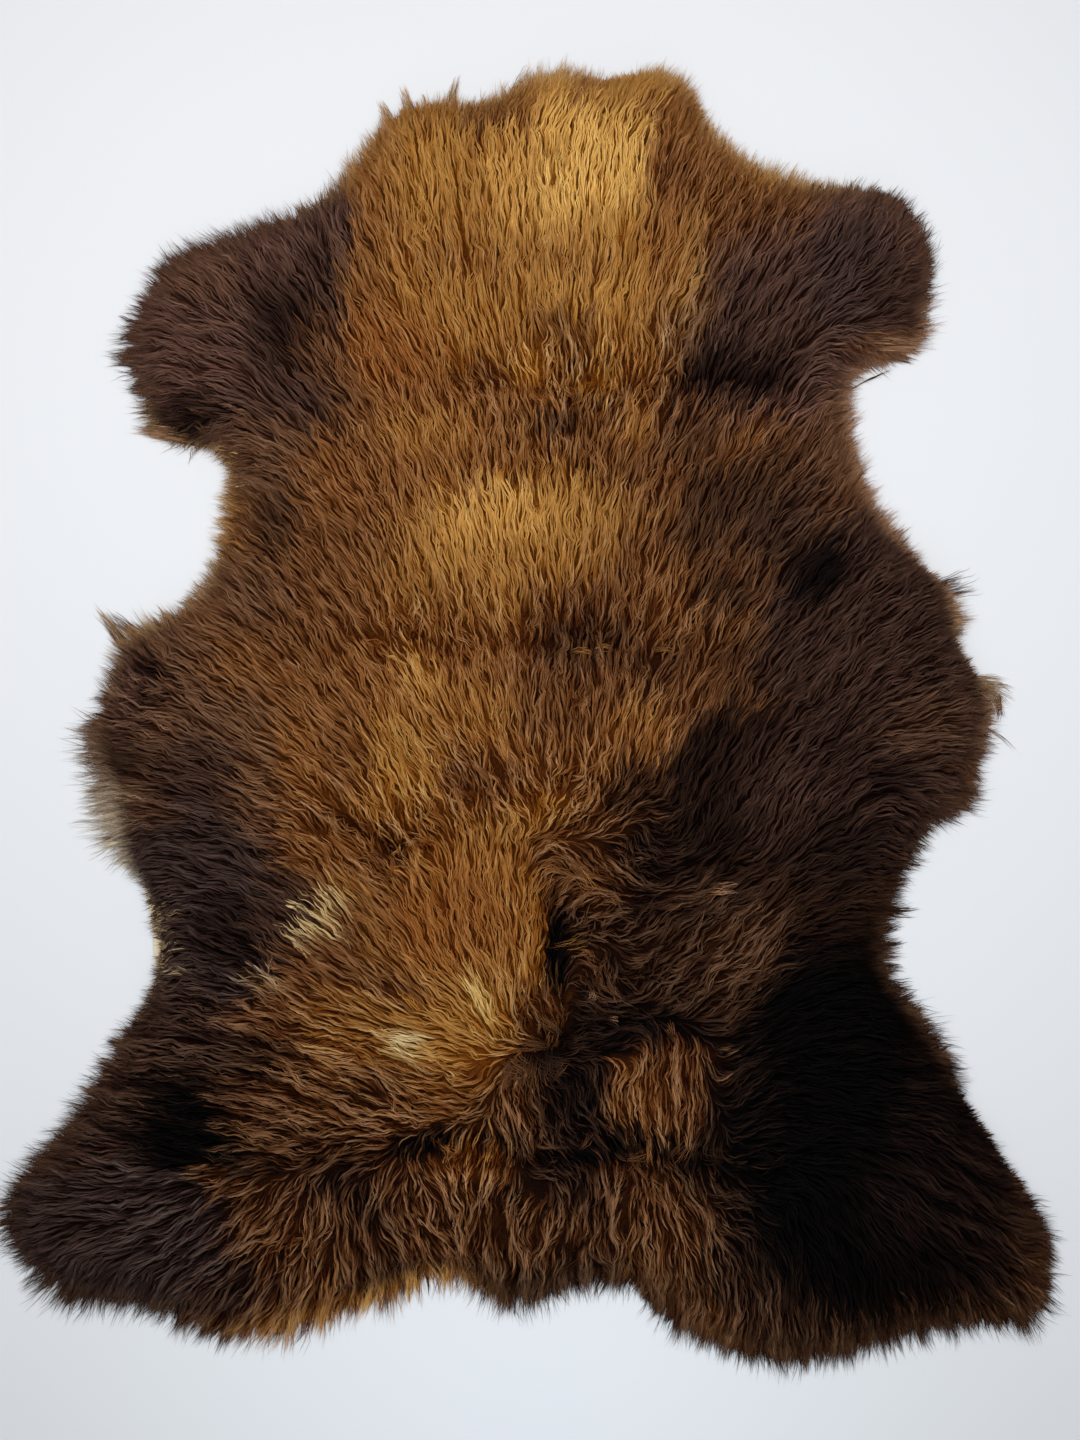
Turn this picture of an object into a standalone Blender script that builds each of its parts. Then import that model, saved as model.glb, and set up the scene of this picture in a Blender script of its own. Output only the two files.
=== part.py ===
"""A brown sheepskin lying flat with its wool side up: a leather hide and the fleece on it.

+Y runs from the tail to the neck, +X to the right as seen from above, and +Z up.
The hide lies on the plane z = 0, and so do the locks that hang over its edge.
"""

import math

import bmesh
import bpy
import numpy as np
from mathutils import Vector, noise
from mathutils.geometry import delaunay_2d_cdt

MM = 0.001

# Heights above the floor, in millimetres.
HIDE_THICKNESS = 2.0
PIECE_GAP = 0.3
WALL_TOP = 12.0
PILE_HEIGHT = 33.0

# Steps inwards from the skin's edge line, in millimetres.
FOOT_SETBACK = 9.0
WALL_SETBACK = 7.0
SHOULDER_SETBACK = 17.0
HIDE_SETBACK = 14.0

# How fast the pile rises from the wall's top to its full height, in millimetres.
RISE_LENGTH = 26.0

# The wool's lumps: size across and height, in millimetres, and which slice of the
# noise each kind follows.
LUMPS = [
    (150.0, 5.5, 0.4),
    (48.0, 4.0, 3.7),
]

# The spacing of the locks round the rim, of the points on top and of those round the
# hide, in millimetres.
LOCK_PITCH = 18.0
TOP_PITCH = 18.0
TOP_CLEARANCE = 10.0
HIDE_PITCH = 12.0

# A lock's half width and top height at its middle and at its tip, in millimetres.
LOCK_MIDDLE_SHARE = 0.45
LOCK_MIDDLE_HALF_WIDTH, LOCK_MIDDLE_TOP = 5.0, 7.0
LOCK_TIP_HALF_WIDTH, LOCK_TIP_TOP = 1.3, 1.8

# How much the locks differ in length and in direction, and how far a tip may sweep aside.
LENGTH_UNEVENNESS = 0.35
SWEEP_UNEVENNESS = math.radians(9)
LARGEST_SWEEP = math.radians(46)
SHORTEST_FRINGE = 5.0
LOCK_SEED = 11

# How many times the hide's setback is evened out where the bare edge begins and ends.
SETBACK_SMOOTHING = 3

# Points to a span of the edge's curve, and how near the top's points may merge.
SPLINE_STEPS = 12
MERGE_DISTANCE = 0.001

# The edge of the wool, clockwise from the neck. Columns, in millimetres and degrees:
# across, along, how far the fringe reaches past the edge, and where its tips point,
# counted from +X towards +Y. A fringe of 0 is a stretch where the bare hide shows.
RIM = {
    "neck": [
        (-104, 490, 10, 105),
        (-72, 494, 10, 92),
        (-42, 492, 8, 80),
        (-20, 501, 9, 68),
        (8, 512, 9, 68),
        (68, 514, 8, 70),
        (92, 519, 7, 62),
        (116, 512, 8, 60),
        (133, 497, 7, 75),
        (141, 475, 6, 80),
    ],
    "right shoulder": [
        (160, 454, 8, 62),
        (188, 437, 9, 62),
        (224, 426, 9, 66),
        (288, 419, 9, 52),
        (306, 401, 12, 55),
        (318, 378, 10, 50),
        (321, 353, 8, 42),
        (314, 326, 12, 38),
        (314, 305, 14, 18),
        (300, 290, 10, -5),
        (280, 285, 3, 0),
        (262, 280, 3, 15),
    ],
    "right armpit": [
        (255, 265, 3, 30),
        (254, 245, 9, 40),
        (262, 197, 9, 48),
        (274, 170, 11, 42),
    ],
    "right belly": [
        (290, 147, 13, 38),
        (332, 107, 12, 30),
        (340, 85, 12, 45),
        (346, 57, 12, 50),
        (362, 33, 14, 35),
        (370, 9, 16, 20),
        (364, -15, 14, 0),
        (354, -63, 14, -5),
        (336, -79, 10, -5),
    ],
    "right waist": [
        (320, -90, 0, -10),
        (294, -138, 0, -10),
        (285, -159, 12, -8),
        (280, -183, 16, -12),
        (283, -207, 14, -12),
    ],
    "right hind": [
        (300, -231, 12, -18),
        (338, -287, 10, -28),
        (378, -347, 8, -28),
        (412, -411, 6, -32),
        (416, -443, 6, -38),
        (412, -467, 8, -48),
        (390, -480, 9, -62),
    ],
    "tail": [
        (324, -484, 12, -78),
        (252, -505, 11, -85),
        (212, -512, 12, -88),
        (172, -509, 11, -90),
        (140, -496, 11, -97),
        (110, -477, 9, -105),
        (92, -459, 6, -100),
        (74, -450, 5, -92),
        (48, -452, 6, -85),
        (-12, -466, 8, -90),
        (-38, -458, 8, -88),
        (-60, -445, 6, -90),
        (-88, -447, 6, -85),
    ],
    "left hind": [
        (-120, -459, 8, -95),
        (-196, -485, 9, -112),
        (-236, -492, 9, -125),
        (-268, -484, 9, -120),
        (-304, -470, 10, -118),
        (-372, -456, 9, -128),
        (-398, -440, 8, -140),
        (-413, -415, 5, -165),
        (-414, -390, 6, 175),
        (-402, -369, 7, 172),
        (-356, -315, 9, 175),
        (-313, -235, 8, 172),
    ],
    "left waist": [
        (-306, -215, 0, 172),
        (-303, -180, 0, 172),
        (-310, -142, 0, -175),
        (-319, -123, 0, -175),
    ],
    "left belly": [
        (-329, -106, 12, -172),
        (-332, -67, 22, 175),
        (-346, -26, 16, 170),
        (-346, -3, 14, 165),
        (-330, 42, 9, 155),
        (-326, 61, 12, 145),
        (-304, 71, 14, 155),
        (-264, 97, 7, 140),
    ],
    "left armpit": [
        (-254, 118, 6, 140),
        (-243, 169, 7, 160),
        (-243, 193, 9, 165),
        (-253, 213, 3, 160),
    ],
    "left shoulder": [
        (-272, 218, 4, -170),
        (-296, 225, 8, -175),
        (-304, 237, 16, 178),
        (-306, 254, 10, 175),
        (-321, 293, 12, 175),
        (-306, 338, 8, 158),
        (-294, 357, 9, 150),
        (-272, 371, 7, 140),
        (-212, 393, 7, 128),
        (-156, 421, 7, 115),
        (-126, 466, 8, 112),
    ],
}

# Where the wool parts or folds over itself, a soft trough each. Columns, in millimetres:
# across and along at one end and at the other, depth, and half width.
CREASES = [
    (-60, 262, 150, 256, 8, 15),
    (128, 262, 205, 256, 6, 20),
    (-24, 194, 72, 197, 5, 11),
    (-250, 60, -90, 52, 4, 13),
    (-90, 56, 200, 52, 8, 14),
    (-192, -84, -128, -96, 6, 14),
    (-128, -98, -30, -106, 9, 15),
    (-30, -112, 100, -124, 6, 14),
    (100, -134, 180, -128, 6, 12),
    (14, -125, 10, -238, 7, 12),
    (-196, -352, -60, -346, 7, 17),
    (-60, -350, 168, -362, 8, 17),
    (56, -336, 120, -340, 6, 13),
    (4, -259, 12, -262, 7, 20),
    (-276, 248, -262, 238, 7, 14),
    (-306, 18, -296, 12, 5, 12),
    (200, 150, 240, 130, 4, 26),
    (-260, -300, -250, -390, 5, 34),
    (240, -260, 270, -380, 4, 44),
]

# Colour, roughness and metallic value of each sub-part.
HIDE_FINISH = ((0.62, 0.50, 0.36, 1.0), 0.82, 0.0)
FLEECE_FINISH = ((0.16, 0.085, 0.045, 1.0), 0.92, 0.0)


def clear_scene():
    """Removes whatever objects the file opened with."""
    for item in list(bpy.data.objects):
        bpy.data.objects.remove(item, do_unlink=True)


def finish(name, values):
    """A Principled material from a colour, a roughness and a metallic value."""
    colour, roughness, metallic = values
    material = bpy.data.materials.new(name)
    material.use_nodes = True
    shader = material.node_tree.nodes["Principled BSDF"]
    shader.inputs["Base Color"].default_value = colour
    shader.inputs["Roughness"].default_value = roughness
    shader.inputs["Metallic"].default_value = metallic
    return material


def closed_spline(knots, steps):
    """A smooth closed curve through the rows of knots, steps points to a span."""
    before = np.roll(knots, 1, axis=0)
    after = np.roll(knots, -1, axis=0)
    later = np.roll(knots, -2, axis=0)
    points = []
    for t in np.arange(steps) / steps:
        cubic = (-before + 3 * knots - 3 * after + later) * t**3
        square = (2 * before - 5 * knots + 4 * after - later) * t**2
        points.append((2 * knots + (after - before) * t + square + cubic) / 2)
    return np.stack(points, axis=1).reshape(-1, knots.shape[1])


def even_steps(points, pitch):
    """The closed curve's points again, at an even distance near pitch."""
    closed = np.vstack([points, points[:1]])
    spans = np.linalg.norm(np.diff(closed[:, :2], axis=0), axis=1)
    run = np.concatenate([[0], np.cumsum(spans)])
    count = round(run[-1] / pitch)
    places = np.arange(count) * run[-1] / count
    return np.column_stack([np.interp(places, run, column) for column in closed.T])


def unit(vectors):
    """The rows scaled to a length of one."""
    return vectors / np.linalg.norm(vectors, axis=1, keepdims=True)


def outward(ring):
    """The outward direction at each point of a ring that runs counterclockwise."""
    along = unit(np.roll(ring, -1, axis=0) - np.roll(ring, 1, axis=0))
    along = unit(np.roll(along, 1, axis=0) + 2 * along + np.roll(along, -1, axis=0))
    return np.column_stack([along[:, 1], -along[:, 0]])


def read_rim(pitch):
    """The edge line, its fringe, the tips' direction and the outward direction."""
    rows = np.array([row for stretch in RIM.values() for row in stretch], float)
    heading = np.radians(rows[:, 3])
    knots = np.column_stack([rows[:, :3], np.cos(heading), np.sin(heading)])
    curve = even_steps(closed_spline(knots, SPLINE_STEPS), pitch)[::-1]
    edge = curve[:, :2]
    fringe = np.clip(curve[:, 2], 0, None)
    return edge, fringe, unit(curve[:, 3:5]), outward(edge)


def distance_to_ring(points, ring):
    """How far each point lies from the closed ring's nearest side."""
    start = ring[None]
    span = np.roll(ring, -1, axis=0)[None] - start
    offset = points[:, None] - start
    share = (offset * span).sum(2) / (span**2).sum(2)
    nearest = offset - span * np.clip(share, 0, 1)[:, :, None]
    return np.linalg.norm(nearest, axis=2).min(axis=1)


def inside_ring(points, ring):
    """Whether each point lies inside the closed ring."""
    start, end = ring[None], np.roll(ring, -1, axis=0)[None]
    x, y = points[:, None, 0], points[:, None, 1]
    crosses = (start[..., 1] > y) != (end[..., 1] > y)
    rise = np.where(crosses, end[..., 1] - start[..., 1], 1.0)
    at = start[..., 0] + (end[..., 0] - start[..., 0]) * (y - start[..., 1]) / rise
    return (crosses & (x < at)).sum(axis=1) % 2 == 1


def crease_depth(points):
    """How deep the troughs are at each point."""
    depth = np.zeros(len(points))
    for x0, y0, x1, y1, deepest, half_width in CREASES:
        start, span = np.array([x0, y0], float), np.array([x1 - x0, y1 - y0], float)
        share = np.clip((points - start) @ span / (span @ span), 0, 1)
        away = np.linalg.norm(points - start - share[:, None] * span, axis=1)
        depth = np.maximum(depth, deepest * np.exp(-((away / half_width) ** 2)))
    return depth


def lump_height(points):
    """How far the wool's lumps rise or sink at each point."""
    heights = np.zeros(len(points))
    for size, height, part in LUMPS:
        heights += [height * noise.noise(Vector((x / size, y / size, part))) for x, y in points]
    return heights


def pile_top(points, wall):
    """The height of the wool's top at each point inside the wall."""
    depth_in = distance_to_ring(points, wall)
    rise = 1 - np.exp(-depth_in / RISE_LENGTH)
    shape = lump_height(points) - crease_depth(points)
    return WALL_TOP + (PILE_HEIGHT - WALL_TOP + shape) * rise


def top_points(shoulder):
    """Points in even, staggered rows over the top, clear of its border."""
    row_step = TOP_PITCH * math.sqrt(3) / 2
    low, high = shoulder.min(axis=0), shoulder.max(axis=0)
    rows = []
    for number, y in enumerate(np.arange(low[1], high[1], row_step)):
        x = np.arange(low[0], high[0], TOP_PITCH) + (number % 2) * TOP_PITCH / 2
        rows.append(np.column_stack([x, np.full(len(x), y)]))
    points = np.vstack(rows)
    clear = distance_to_ring(points, shoulder) > TOP_CLEARANCE
    return points[inside_ring(points, shoulder) & clear]


def add_ring(mesh, ring, heights):
    """Adds a ring of vertices."""
    return [mesh.verts.new((x, y, z)) for (x, y), z in zip(ring, heights)]


def loft(mesh, lower, upper):
    """Adds the band of faces between two rings of as many vertices."""
    count = len(lower)
    faces = []
    for i in range(count):
        j = (i + 1) % count
        faces.append(mesh.faces.new((lower[i], lower[j], upper[j], upper[i])))
    return faces


def add_top(mesh, border, wall, shoulder):
    """Closes the top with triangles that follow the lumps and the creases."""
    inner = top_points(shoulder)
    flat = [Vector(point) for point in np.vstack([shoulder, inner])]
    ring = list(range(len(border)))
    sides = [(i, (i + 1) % len(ring)) for i in ring]
    inside_only = 1
    meshed = delaunay_2d_cdt(flat, sides, [], inside_only, MERGE_DISTANCE)
    placed, _, faces, sources, _, _ = meshed
    heights = pile_top(np.array(placed), wall)
    corners = []
    for place, height, source in zip(placed, heights, sources):
        if source[0] < len(border):
            corners.append(border[source[0]])
        else:
            corners.append(mesh.verts.new((place.x, place.y, height)))
    for face in faces:
        mesh.faces.new([corners[i] for i in face])


def limited_sweep(normal, heading, extra):
    """The tips' direction, turned no further from the rim's outward one than allowed."""
    cross = normal[0] * heading[1] - normal[1] * heading[0]
    angle = math.atan2(cross, float(normal @ heading)) + extra
    angle = max(-LARGEST_SWEEP, min(LARGEST_SWEEP, angle))
    cosine, sine = math.cos(angle), math.sin(angle)
    return np.array([cosine * normal[0] - sine * normal[1],
                     sine * normal[0] + cosine * normal[1]])


def grow(mesh, face, middle, across, half_width, top):
    """Extrudes a face and sets its four corners as a section that stands on the floor."""
    centre = face.calc_center_median()
    tip = bmesh.ops.extrude_discrete_faces(mesh, faces=[face])["faces"][0]
    for vertex in tip.verts:
        side = 1 if (vertex.co - centre).xy.dot(Vector(across)) > 0 else -1
        height = top if vertex.co.z > centre.z else 0.0
        x, y = middle + across * side * half_width
        vertex.co = (x, y, height)
    return tip


def add_locks(mesh, walls, wall, fringe, heading, normals):
    """Draws a tapering lock out of each wall face that carries a fringe."""
    chance = np.random.default_rng(LOCK_SEED)
    for i, face in enumerate(walls):
        j = (i + 1) % len(walls)
        longer, turned = chance.uniform(-1, 1, 2)
        if min(fringe[i], fringe[j]) < SHORTEST_FRINGE:
            continue
        reach = (fringe[i] + fringe[j]) / 2
        length = WALL_SETBACK + reach * (1 + LENGTH_UNEVENNESS * longer)
        normal = unit((normals[i] + normals[j])[None])[0]
        tips = unit((heading[i] + heading[j])[None])[0]
        swept = limited_sweep(normal, tips, SWEEP_UNEVENNESS * turned)
        root = (wall[i] + wall[j]) / 2
        first = unit((normal + swept)[None])[0]
        middle = root + first * length * LOCK_MIDDLE_SHARE
        end = middle + swept * length * (1 - LOCK_MIDDLE_SHARE)
        across = np.array([-normal[1], normal[0]])
        face = grow(mesh, face, middle, across, LOCK_MIDDLE_HALF_WIDTH, LOCK_MIDDLE_TOP)
        across = np.array([-swept[1], swept[0]])
        grow(mesh, face, end, across, LOCK_TIP_HALF_WIDTH, LOCK_TIP_TOP)


def make_fleece():
    """The wool: a lumpy slab on the hide, with locks hanging to the floor round its rim."""
    edge, fringe, heading, normals = read_rim(LOCK_PITCH)
    foot = edge - normals * FOOT_SETBACK
    wall = edge - normals * WALL_SETBACK
    shoulder = edge - normals * SHOULDER_SETBACK
    level = np.full(len(edge), HIDE_THICKNESS + PIECE_GAP)
    mesh = bmesh.new()
    foot_ring = add_ring(mesh, foot, level)
    wall_ring = add_ring(mesh, wall, np.full(len(edge), WALL_TOP))
    shoulder_ring = add_ring(mesh, shoulder, pile_top(shoulder, wall))
    mesh.faces.new(foot_ring[::-1])
    walls = loft(mesh, foot_ring, wall_ring)
    loft(mesh, wall_ring, shoulder_ring)
    add_top(mesh, shoulder_ring, wall, shoulder)
    add_locks(mesh, walls, wall, fringe, heading, normals)
    bmesh.ops.recalc_face_normals(mesh, faces=mesh.faces)
    bmesh.ops.scale(mesh, vec=(MM, MM, MM), verts=mesh.verts)
    data = bpy.data.meshes.new("fleece")
    mesh.to_mesh(data)
    mesh.free()
    data.materials.append(finish("wool", FLEECE_FINISH))
    return bpy.data.objects.new("fleece", data)


def make_hide():
    """The leather: a flat sheet that only shows along the two waists."""
    edge, fringe, _, normals = read_rim(HIDE_PITCH)
    covered = np.clip(fringe / SHORTEST_FRINGE, 0, 1)
    for _ in range(SETBACK_SMOOTHING):
        evened = (np.roll(covered, 1) + covered + np.roll(covered, -1)) / 3
        covered = np.maximum(covered, evened)
    outline = edge - normals * (HIDE_SETBACK * covered)[:, None]
    curve = bpy.data.curves.new("hide", "CURVE")
    curve.dimensions = "2D"
    curve.fill_mode = "BOTH"
    curve.extrude = HIDE_THICKNESS / 2 * MM
    spline = curve.splines.new("POLY")
    spline.points.add(len(outline) - 1)
    for point, (x, y) in zip(spline.points, outline * MM):
        point.co = (x, y, 0, 1)
    spline.use_cyclic_u = True
    curve.materials.append(finish("leather", HIDE_FINISH))
    hide = bpy.data.objects.new("hide", curve)
    hide.location.z = HIDE_THICKNESS / 2 * MM
    return hide


def centre_on_origin(pieces):
    """Moves the pieces together so that their common box is centred on the Z axis."""
    bpy.context.view_layer.update()
    corners = [piece.matrix_world @ Vector(c) for piece in pieces for c in piece.bound_box]
    for axis in (0, 1):
        low = min(corner[axis] for corner in corners)
        high = max(corner[axis] for corner in corners)
        for piece in pieces:
            piece.location[axis] -= (low + high) / 2


def main():
    clear_scene()
    collection = bpy.data.collections.new("sheepskin")
    bpy.context.scene.collection.children.link(collection)
    pieces = [make_hide(), make_fleece()]
    for piece in pieces:
        collection.objects.link(piece)
    centre_on_origin(pieces)


main()
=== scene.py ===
"""The looks of a brown sheepskin: its leather, its dense undercoat and its long wool.

Places on the skin are given in pixels of the picture it was modelled from. Lengths are
worked out in millimetres, and the meshes are in metres.
"""

import math

import bpy
import numpy as np
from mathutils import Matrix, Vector, kdtree
from mathutils.bvhtree import BVHTree
from mathutils.geometry import delaunay_2d_cdt

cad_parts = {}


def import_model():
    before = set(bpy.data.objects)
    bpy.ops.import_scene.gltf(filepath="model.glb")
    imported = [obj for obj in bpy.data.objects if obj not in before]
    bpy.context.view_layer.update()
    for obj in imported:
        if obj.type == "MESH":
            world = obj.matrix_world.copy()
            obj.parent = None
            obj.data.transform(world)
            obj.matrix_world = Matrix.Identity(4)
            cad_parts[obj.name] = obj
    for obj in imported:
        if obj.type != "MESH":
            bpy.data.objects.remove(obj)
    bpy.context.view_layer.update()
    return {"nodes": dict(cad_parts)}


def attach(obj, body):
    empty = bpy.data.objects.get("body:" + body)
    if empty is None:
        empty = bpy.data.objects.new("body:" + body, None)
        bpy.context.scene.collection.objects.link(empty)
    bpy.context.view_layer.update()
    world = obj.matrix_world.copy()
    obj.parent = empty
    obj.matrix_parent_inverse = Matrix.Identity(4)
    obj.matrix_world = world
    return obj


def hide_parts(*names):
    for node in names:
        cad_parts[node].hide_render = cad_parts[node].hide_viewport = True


MM = 0.001

# The picture's size, its pixel in millimetres and the pixel that lies on the skin's origin.
PICTURE = (1080, 1440)
PIXEL = 0.8
ORIGIN_PIXEL = np.array([530.59, 715.09])

# The grids that the fields are worked out on: their half size and their pitches.
GRID_HALF = np.array([460.0, 560.0])
GRID_PITCH = 4.0
FINE_PITCH = 2.0
WISP_GRID = 1.0
GRID_REACH = 45.0
STREAK_STEP = 1.5

# How many points are worked out at a time, in how many batches the comb is, and what a
# length, a weight or a turning counts as at least where it is divided by.
BATCH = 4000
COMB_BATCHES = 20
TINY = 1e-9
LEAST_TURNING = 1e-6

# The hide's top and the wool's foot above it, and how exactly their faces are found.
HIDE_TOP = 2.0
FOOT_LEVEL = 2.3
LEVEL_SLACK = 0.05

# The wool's height at its wall, how fast it falls outside it, and its least height.
WALL_TOP = 12.0
WALL_INSIDE_FOOT = 3.0
OUTER_FALL = 12.0
LEAST_HEIGHT = 0.4

# The undercoat lies this far under the wool's top, inside its foot and over its ground.
UNDERCOAT_DEPTH = 10.0
UNDERCOAT_INSET = -2.0
UNDERCOAT_RISE = 0.6

# How light the undercoat is under dark and under gold wool, as painted shade of the deep
# layer, how yellow that shade is under gold wool, and by what share more painted shade it
# has under rough wool.
UNDERCOAT_LIGHT = {"dark": 0.11, "gold": 0.28}
UNDERCOAT_YELLOW = 0.8
ROUGH_UNDERCOAT = 0.5

# The undercoat's mesh: its pitch, the room between its edge and its inner points as a share
# of that, its unevenness and over how many millimetres that runs. Then the kind of net that
# fills the edge's inside only, and how near two points count as one.
UNDERCOAT_PITCH = 7.0
UNDERCOAT_ROOM = 0.7
UNDERCOAT_ROUGHNESS = 1.4
UNDERCOAT_LUMP = 11
FILL_INSIDE = 1
MERGE_DISTANCE = 0.001

# The soft noise: how many cells it has before it repeats, what it is multiplied by, and the
# number that each use of it is drawn from.
NOISE_CELLS = 256
NOISE_GAIN = 1.5
NOISE_PARTS = {
    "sway": 21, "crimps": 22, "lock sway": 23,
    "parting across": 31, "parting down": 32, "breaks": 33,
    "wisps": 41, "locks": 42, "undercoat": 51,
}

# How far the wool sways off the comb's direction, in degrees, over the whole skin, in locks
# and in crimps, and over how many millimetres. Locks and crimps have a calm amount, and what
# is added to it from the loins down and where the wool is ruffled.
SWAY = 11.0
SWAY_SIZE = 46.0
LOCK_SWAY = {"calm": 5.0, "hind": 25.0, "ruffled": 26.0}
LOCK_SWAY_SIZE = 17.0
CRIMP = {"calm": 17.0, "hind": -7.0, "ruffled": 2.0}
CRIMP_SIZE = 5.5
CRIMP_REACH = 7.0

# How far down the picture the hind wool and the rough wool begin, and over how many pixels.
HIND_FROM = 1120
HIND_FADE = 80
ROUGH_FROM = 930
ROUGH_FADE = 170

# Wisps and locks are drawn out along the wool: their sizes across it and reaches along it,
# how strongly the strands gather on them and how far at most, how they rise with them, and
# how much lighter their raised ridges are, as painted light, with painted shade where
# they sink.
WISP_SIZE = 2.0
WISP_REACH = 9.0
WISP_PULL = 0.3
WISP_RISE = 0.5
WISP_LIGHT = {"calm": 0.18, "rough": 0.36}
LOCK_SIZE = 10.0
LOCK_REACH = 28.0
LOCK_RISE = 1.5
LOCK_LIGHT = {"calm": 0.07, "rough": 0.38}
MOST_PULL = {"wisp": 1.3, "lock": 3.2}

# The painted shade in the slits between wisps: where it starts, how fast it deepens, how
# dark it is and how much less dark in gold wool.
SLIT_FROM = {"calm": 0.7, "rough": 0.45}
SLIT_FADE = 0.9
SLIT_DARKNESS = {"calm": 0.72, "rough": 0.93}
SLIT_SOFTENING = 0.86

# Locks turn as one: the pitch of their middles, by how many degrees they and the wisps in
# them turn, what share of the way to its lock's middle a wisp's tip is drawn, and the power
# by which that grows along it. The wisps' turn and the ruffled amounts are added where the
# wool is ruffled.
LOCK_PITCH = 11.0
LOCK_TURN = {"calm": 1.5, "ruffled": 24.0}
WISP_TURN = 7.0
LOCK_GATHER = {"calm": 0.1, "ruffled": 0.35}
LOCK_GATHER_POWER = 1.6

# By what share the wool is shorter inside the skin, and from how far inside its edge, and by
# what share it is shorter where it is ruffled.
INNER_SHORTENING = 0.18
INNER_FROM = 25.0
RUFFLE_SHORTENING = 0.2

# A wisp that crosses a firm parting ends just past it: how far past, as shares of the way to
# it and of its own length, and the least share of its length that it keeps.
PAST_PARTING = (1.0, 1.35)
PAST_PARTING_ADDED = 0.08
LEAST_LENGTH = 0.4

# How far a wisp's strands spread, as a share of its radius, by what share they close up to
# its tip, and the power by which they stray along it.
STRAND_SPREAD = 0.6
WISP_CLOSING = 0.65
STRAY_POWER = 1.5

# How deep the roots lie, how steeply the strands rise from them, how far wisps sink in and
# by what power few of them sink far, how far single strands do, and by what share less in
# gold wool. How much of that there is at the root and at the tip, the height of wool that
# halves it, and how uneven the ground is under the strands.
ROOT_DEPTH = {"calm": 9.5, "rough": 13.0}
RISE_POWER = 2.2
WISP_SINK = {"calm": 3.2, "rough": 7.0}
SINK_POWER = 1.4
STRAND_SINK = 1.6
GOLD_SINK = 0.55
SINK_ALONG = {"root": 0.35, "tip": 1.0}
THIN_WOOL = 6.0
GROUND_UNEVENNESS = 1.2

# How light a strand on top of the wool is, how much painted shade darkens the deepest one,
# and between what values the light of a strand is held.
SURFACE_LIGHT = 1.08
DEPTH_SHADE = 0.5
STRAND_LIGHTS = (0.25, 1.8)

# How much the strands gather into locks, and how much more in rough wool. By what share they
# gather less near the rim, how far in that reaches, and by what share less in soft wool.
GATHER = {"calm": 0.45, "rough": 0.55}
RIM_EVENNESS = 0.85
RIM_EVEN_BAND = 26.0
SOFT_EVENNESS = 0.6

# How far outside the foot a tip lies where its strand begins to be thinner, over how far
# that grows, and between what shares of its width a strand's own width lies.
THINNING_FROM = -4.0
THINNING_FADE = 14.0
WIDTHS = (0.7, 1.3)

# Where the comb fans out more roots are kept: the share kept elsewhere and its rise.
ROOTS_KEPT = 0.84
FAN_GAIN = 9.0

# How far along the wool a wisp's tint may come from and how far off a strand's may, how
# lighter strands grow paler, as a painted sheen, and darker ones warmer, as painted shade,
# as powers of red, green and blue. The share of blue in green from which a tint counts as
# pale, how fast it does, and the least green that blue is compared with.
TONE_JITTER = 7.0
STRAND_JITTER = 1.5
HIGHLIGHT_POWERS = {"dark": np.array([0.82, 1.0, 1.0]), "gold": np.array([0.58, 1.0, 1.9])}
PALE_FROM = 0.6
PALE_FADE = 0.3
LEAST_GREEN = 1e-4

# The linear green of gold wool's tint, the power by which only gold wool is softened, and by
# what share less it is where it is rough.
GOLD_GREEN = 0.20
GOLD_POWER = 3
ROUGH_GOLD = 0.6

# The contrast between strands, as a power, and by what share it is more in rough wool and
# less in soft wool. How light the wool is as a whole, the power that holds the lighter
# strands back, the most that one is lightened, and how far the painted shade at gold wool's
# roots is lessened, as a power.
CONTRAST = {"dark": 1.8, "gold": 0.62}
ROUGH_CONTRAST = 0.3
SOFT_CONTRAST = 0.3
LEVEL = {"dark": 1.16, "gold": 0.68}
LIGHT_SHARE = 0.65
MOST_LIGHT = 2.0
GOLD_ROOTS = 0.55

# How far the strands' shading is evened out, because light passes from hair to hair: in
# dark wool and in gold wool.
EVENED = {"dark": 0.30, "gold": 0.72}

# The wool's main strands and the finer hair of the rim. The shares of a strand's length at
# which its rows of points lie, how wide it is there and how light, the light being painted
# shade that is darkest at the root. Then the pitch of the wisps' roots, the strands to a
# wisp, what shares of the comb's length they have, by how many degrees wisps turn, how wide
# they are, how far their tips are staggered, stray and lift, a strand's width, and how wisps
# and strands differ in light. From how far outside the foot they take the rim's tone with its
# painted glow, over how far and by what share, and by what share they are thinner there. By
# how many degrees they roll, the row of points that their tint is read at, how strongly locks
# pull them, the field that they follow and the share of their length that they keep at the
# rim. Lengths are in millimetres.
WOOL = {
    "shares": np.array([0.0, 0.28, 0.44, 0.58, 0.72, 0.86, 1.0]),
    "widths": np.array([0.6, 1.0, 1.0, 1.0, 0.9, 0.65, 0.0]),
    "light": np.array([0.16, 0.46, 0.74, 0.94, 1.02, 1.06, 1.10]),
    "pitch": 4.2, "strands": 2, "longer": (0.8, 1.2), "turn": 3, "radius": 1.5,
    "stagger": 5.0, "stray": 0.4, "lift": 0.4, "width": 1.02, "wisp contrast": 0.10,
    "strand contrast": 0.16, "rim from": 2.0, "rim fade": 20.0, "rim share": 0.7,
    "rim thinning": 0.15, "roll": 22, "tint row": 4, "lock pull": 2.0, "way": "heading",
    "rim reach": 0.84,
}
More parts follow.
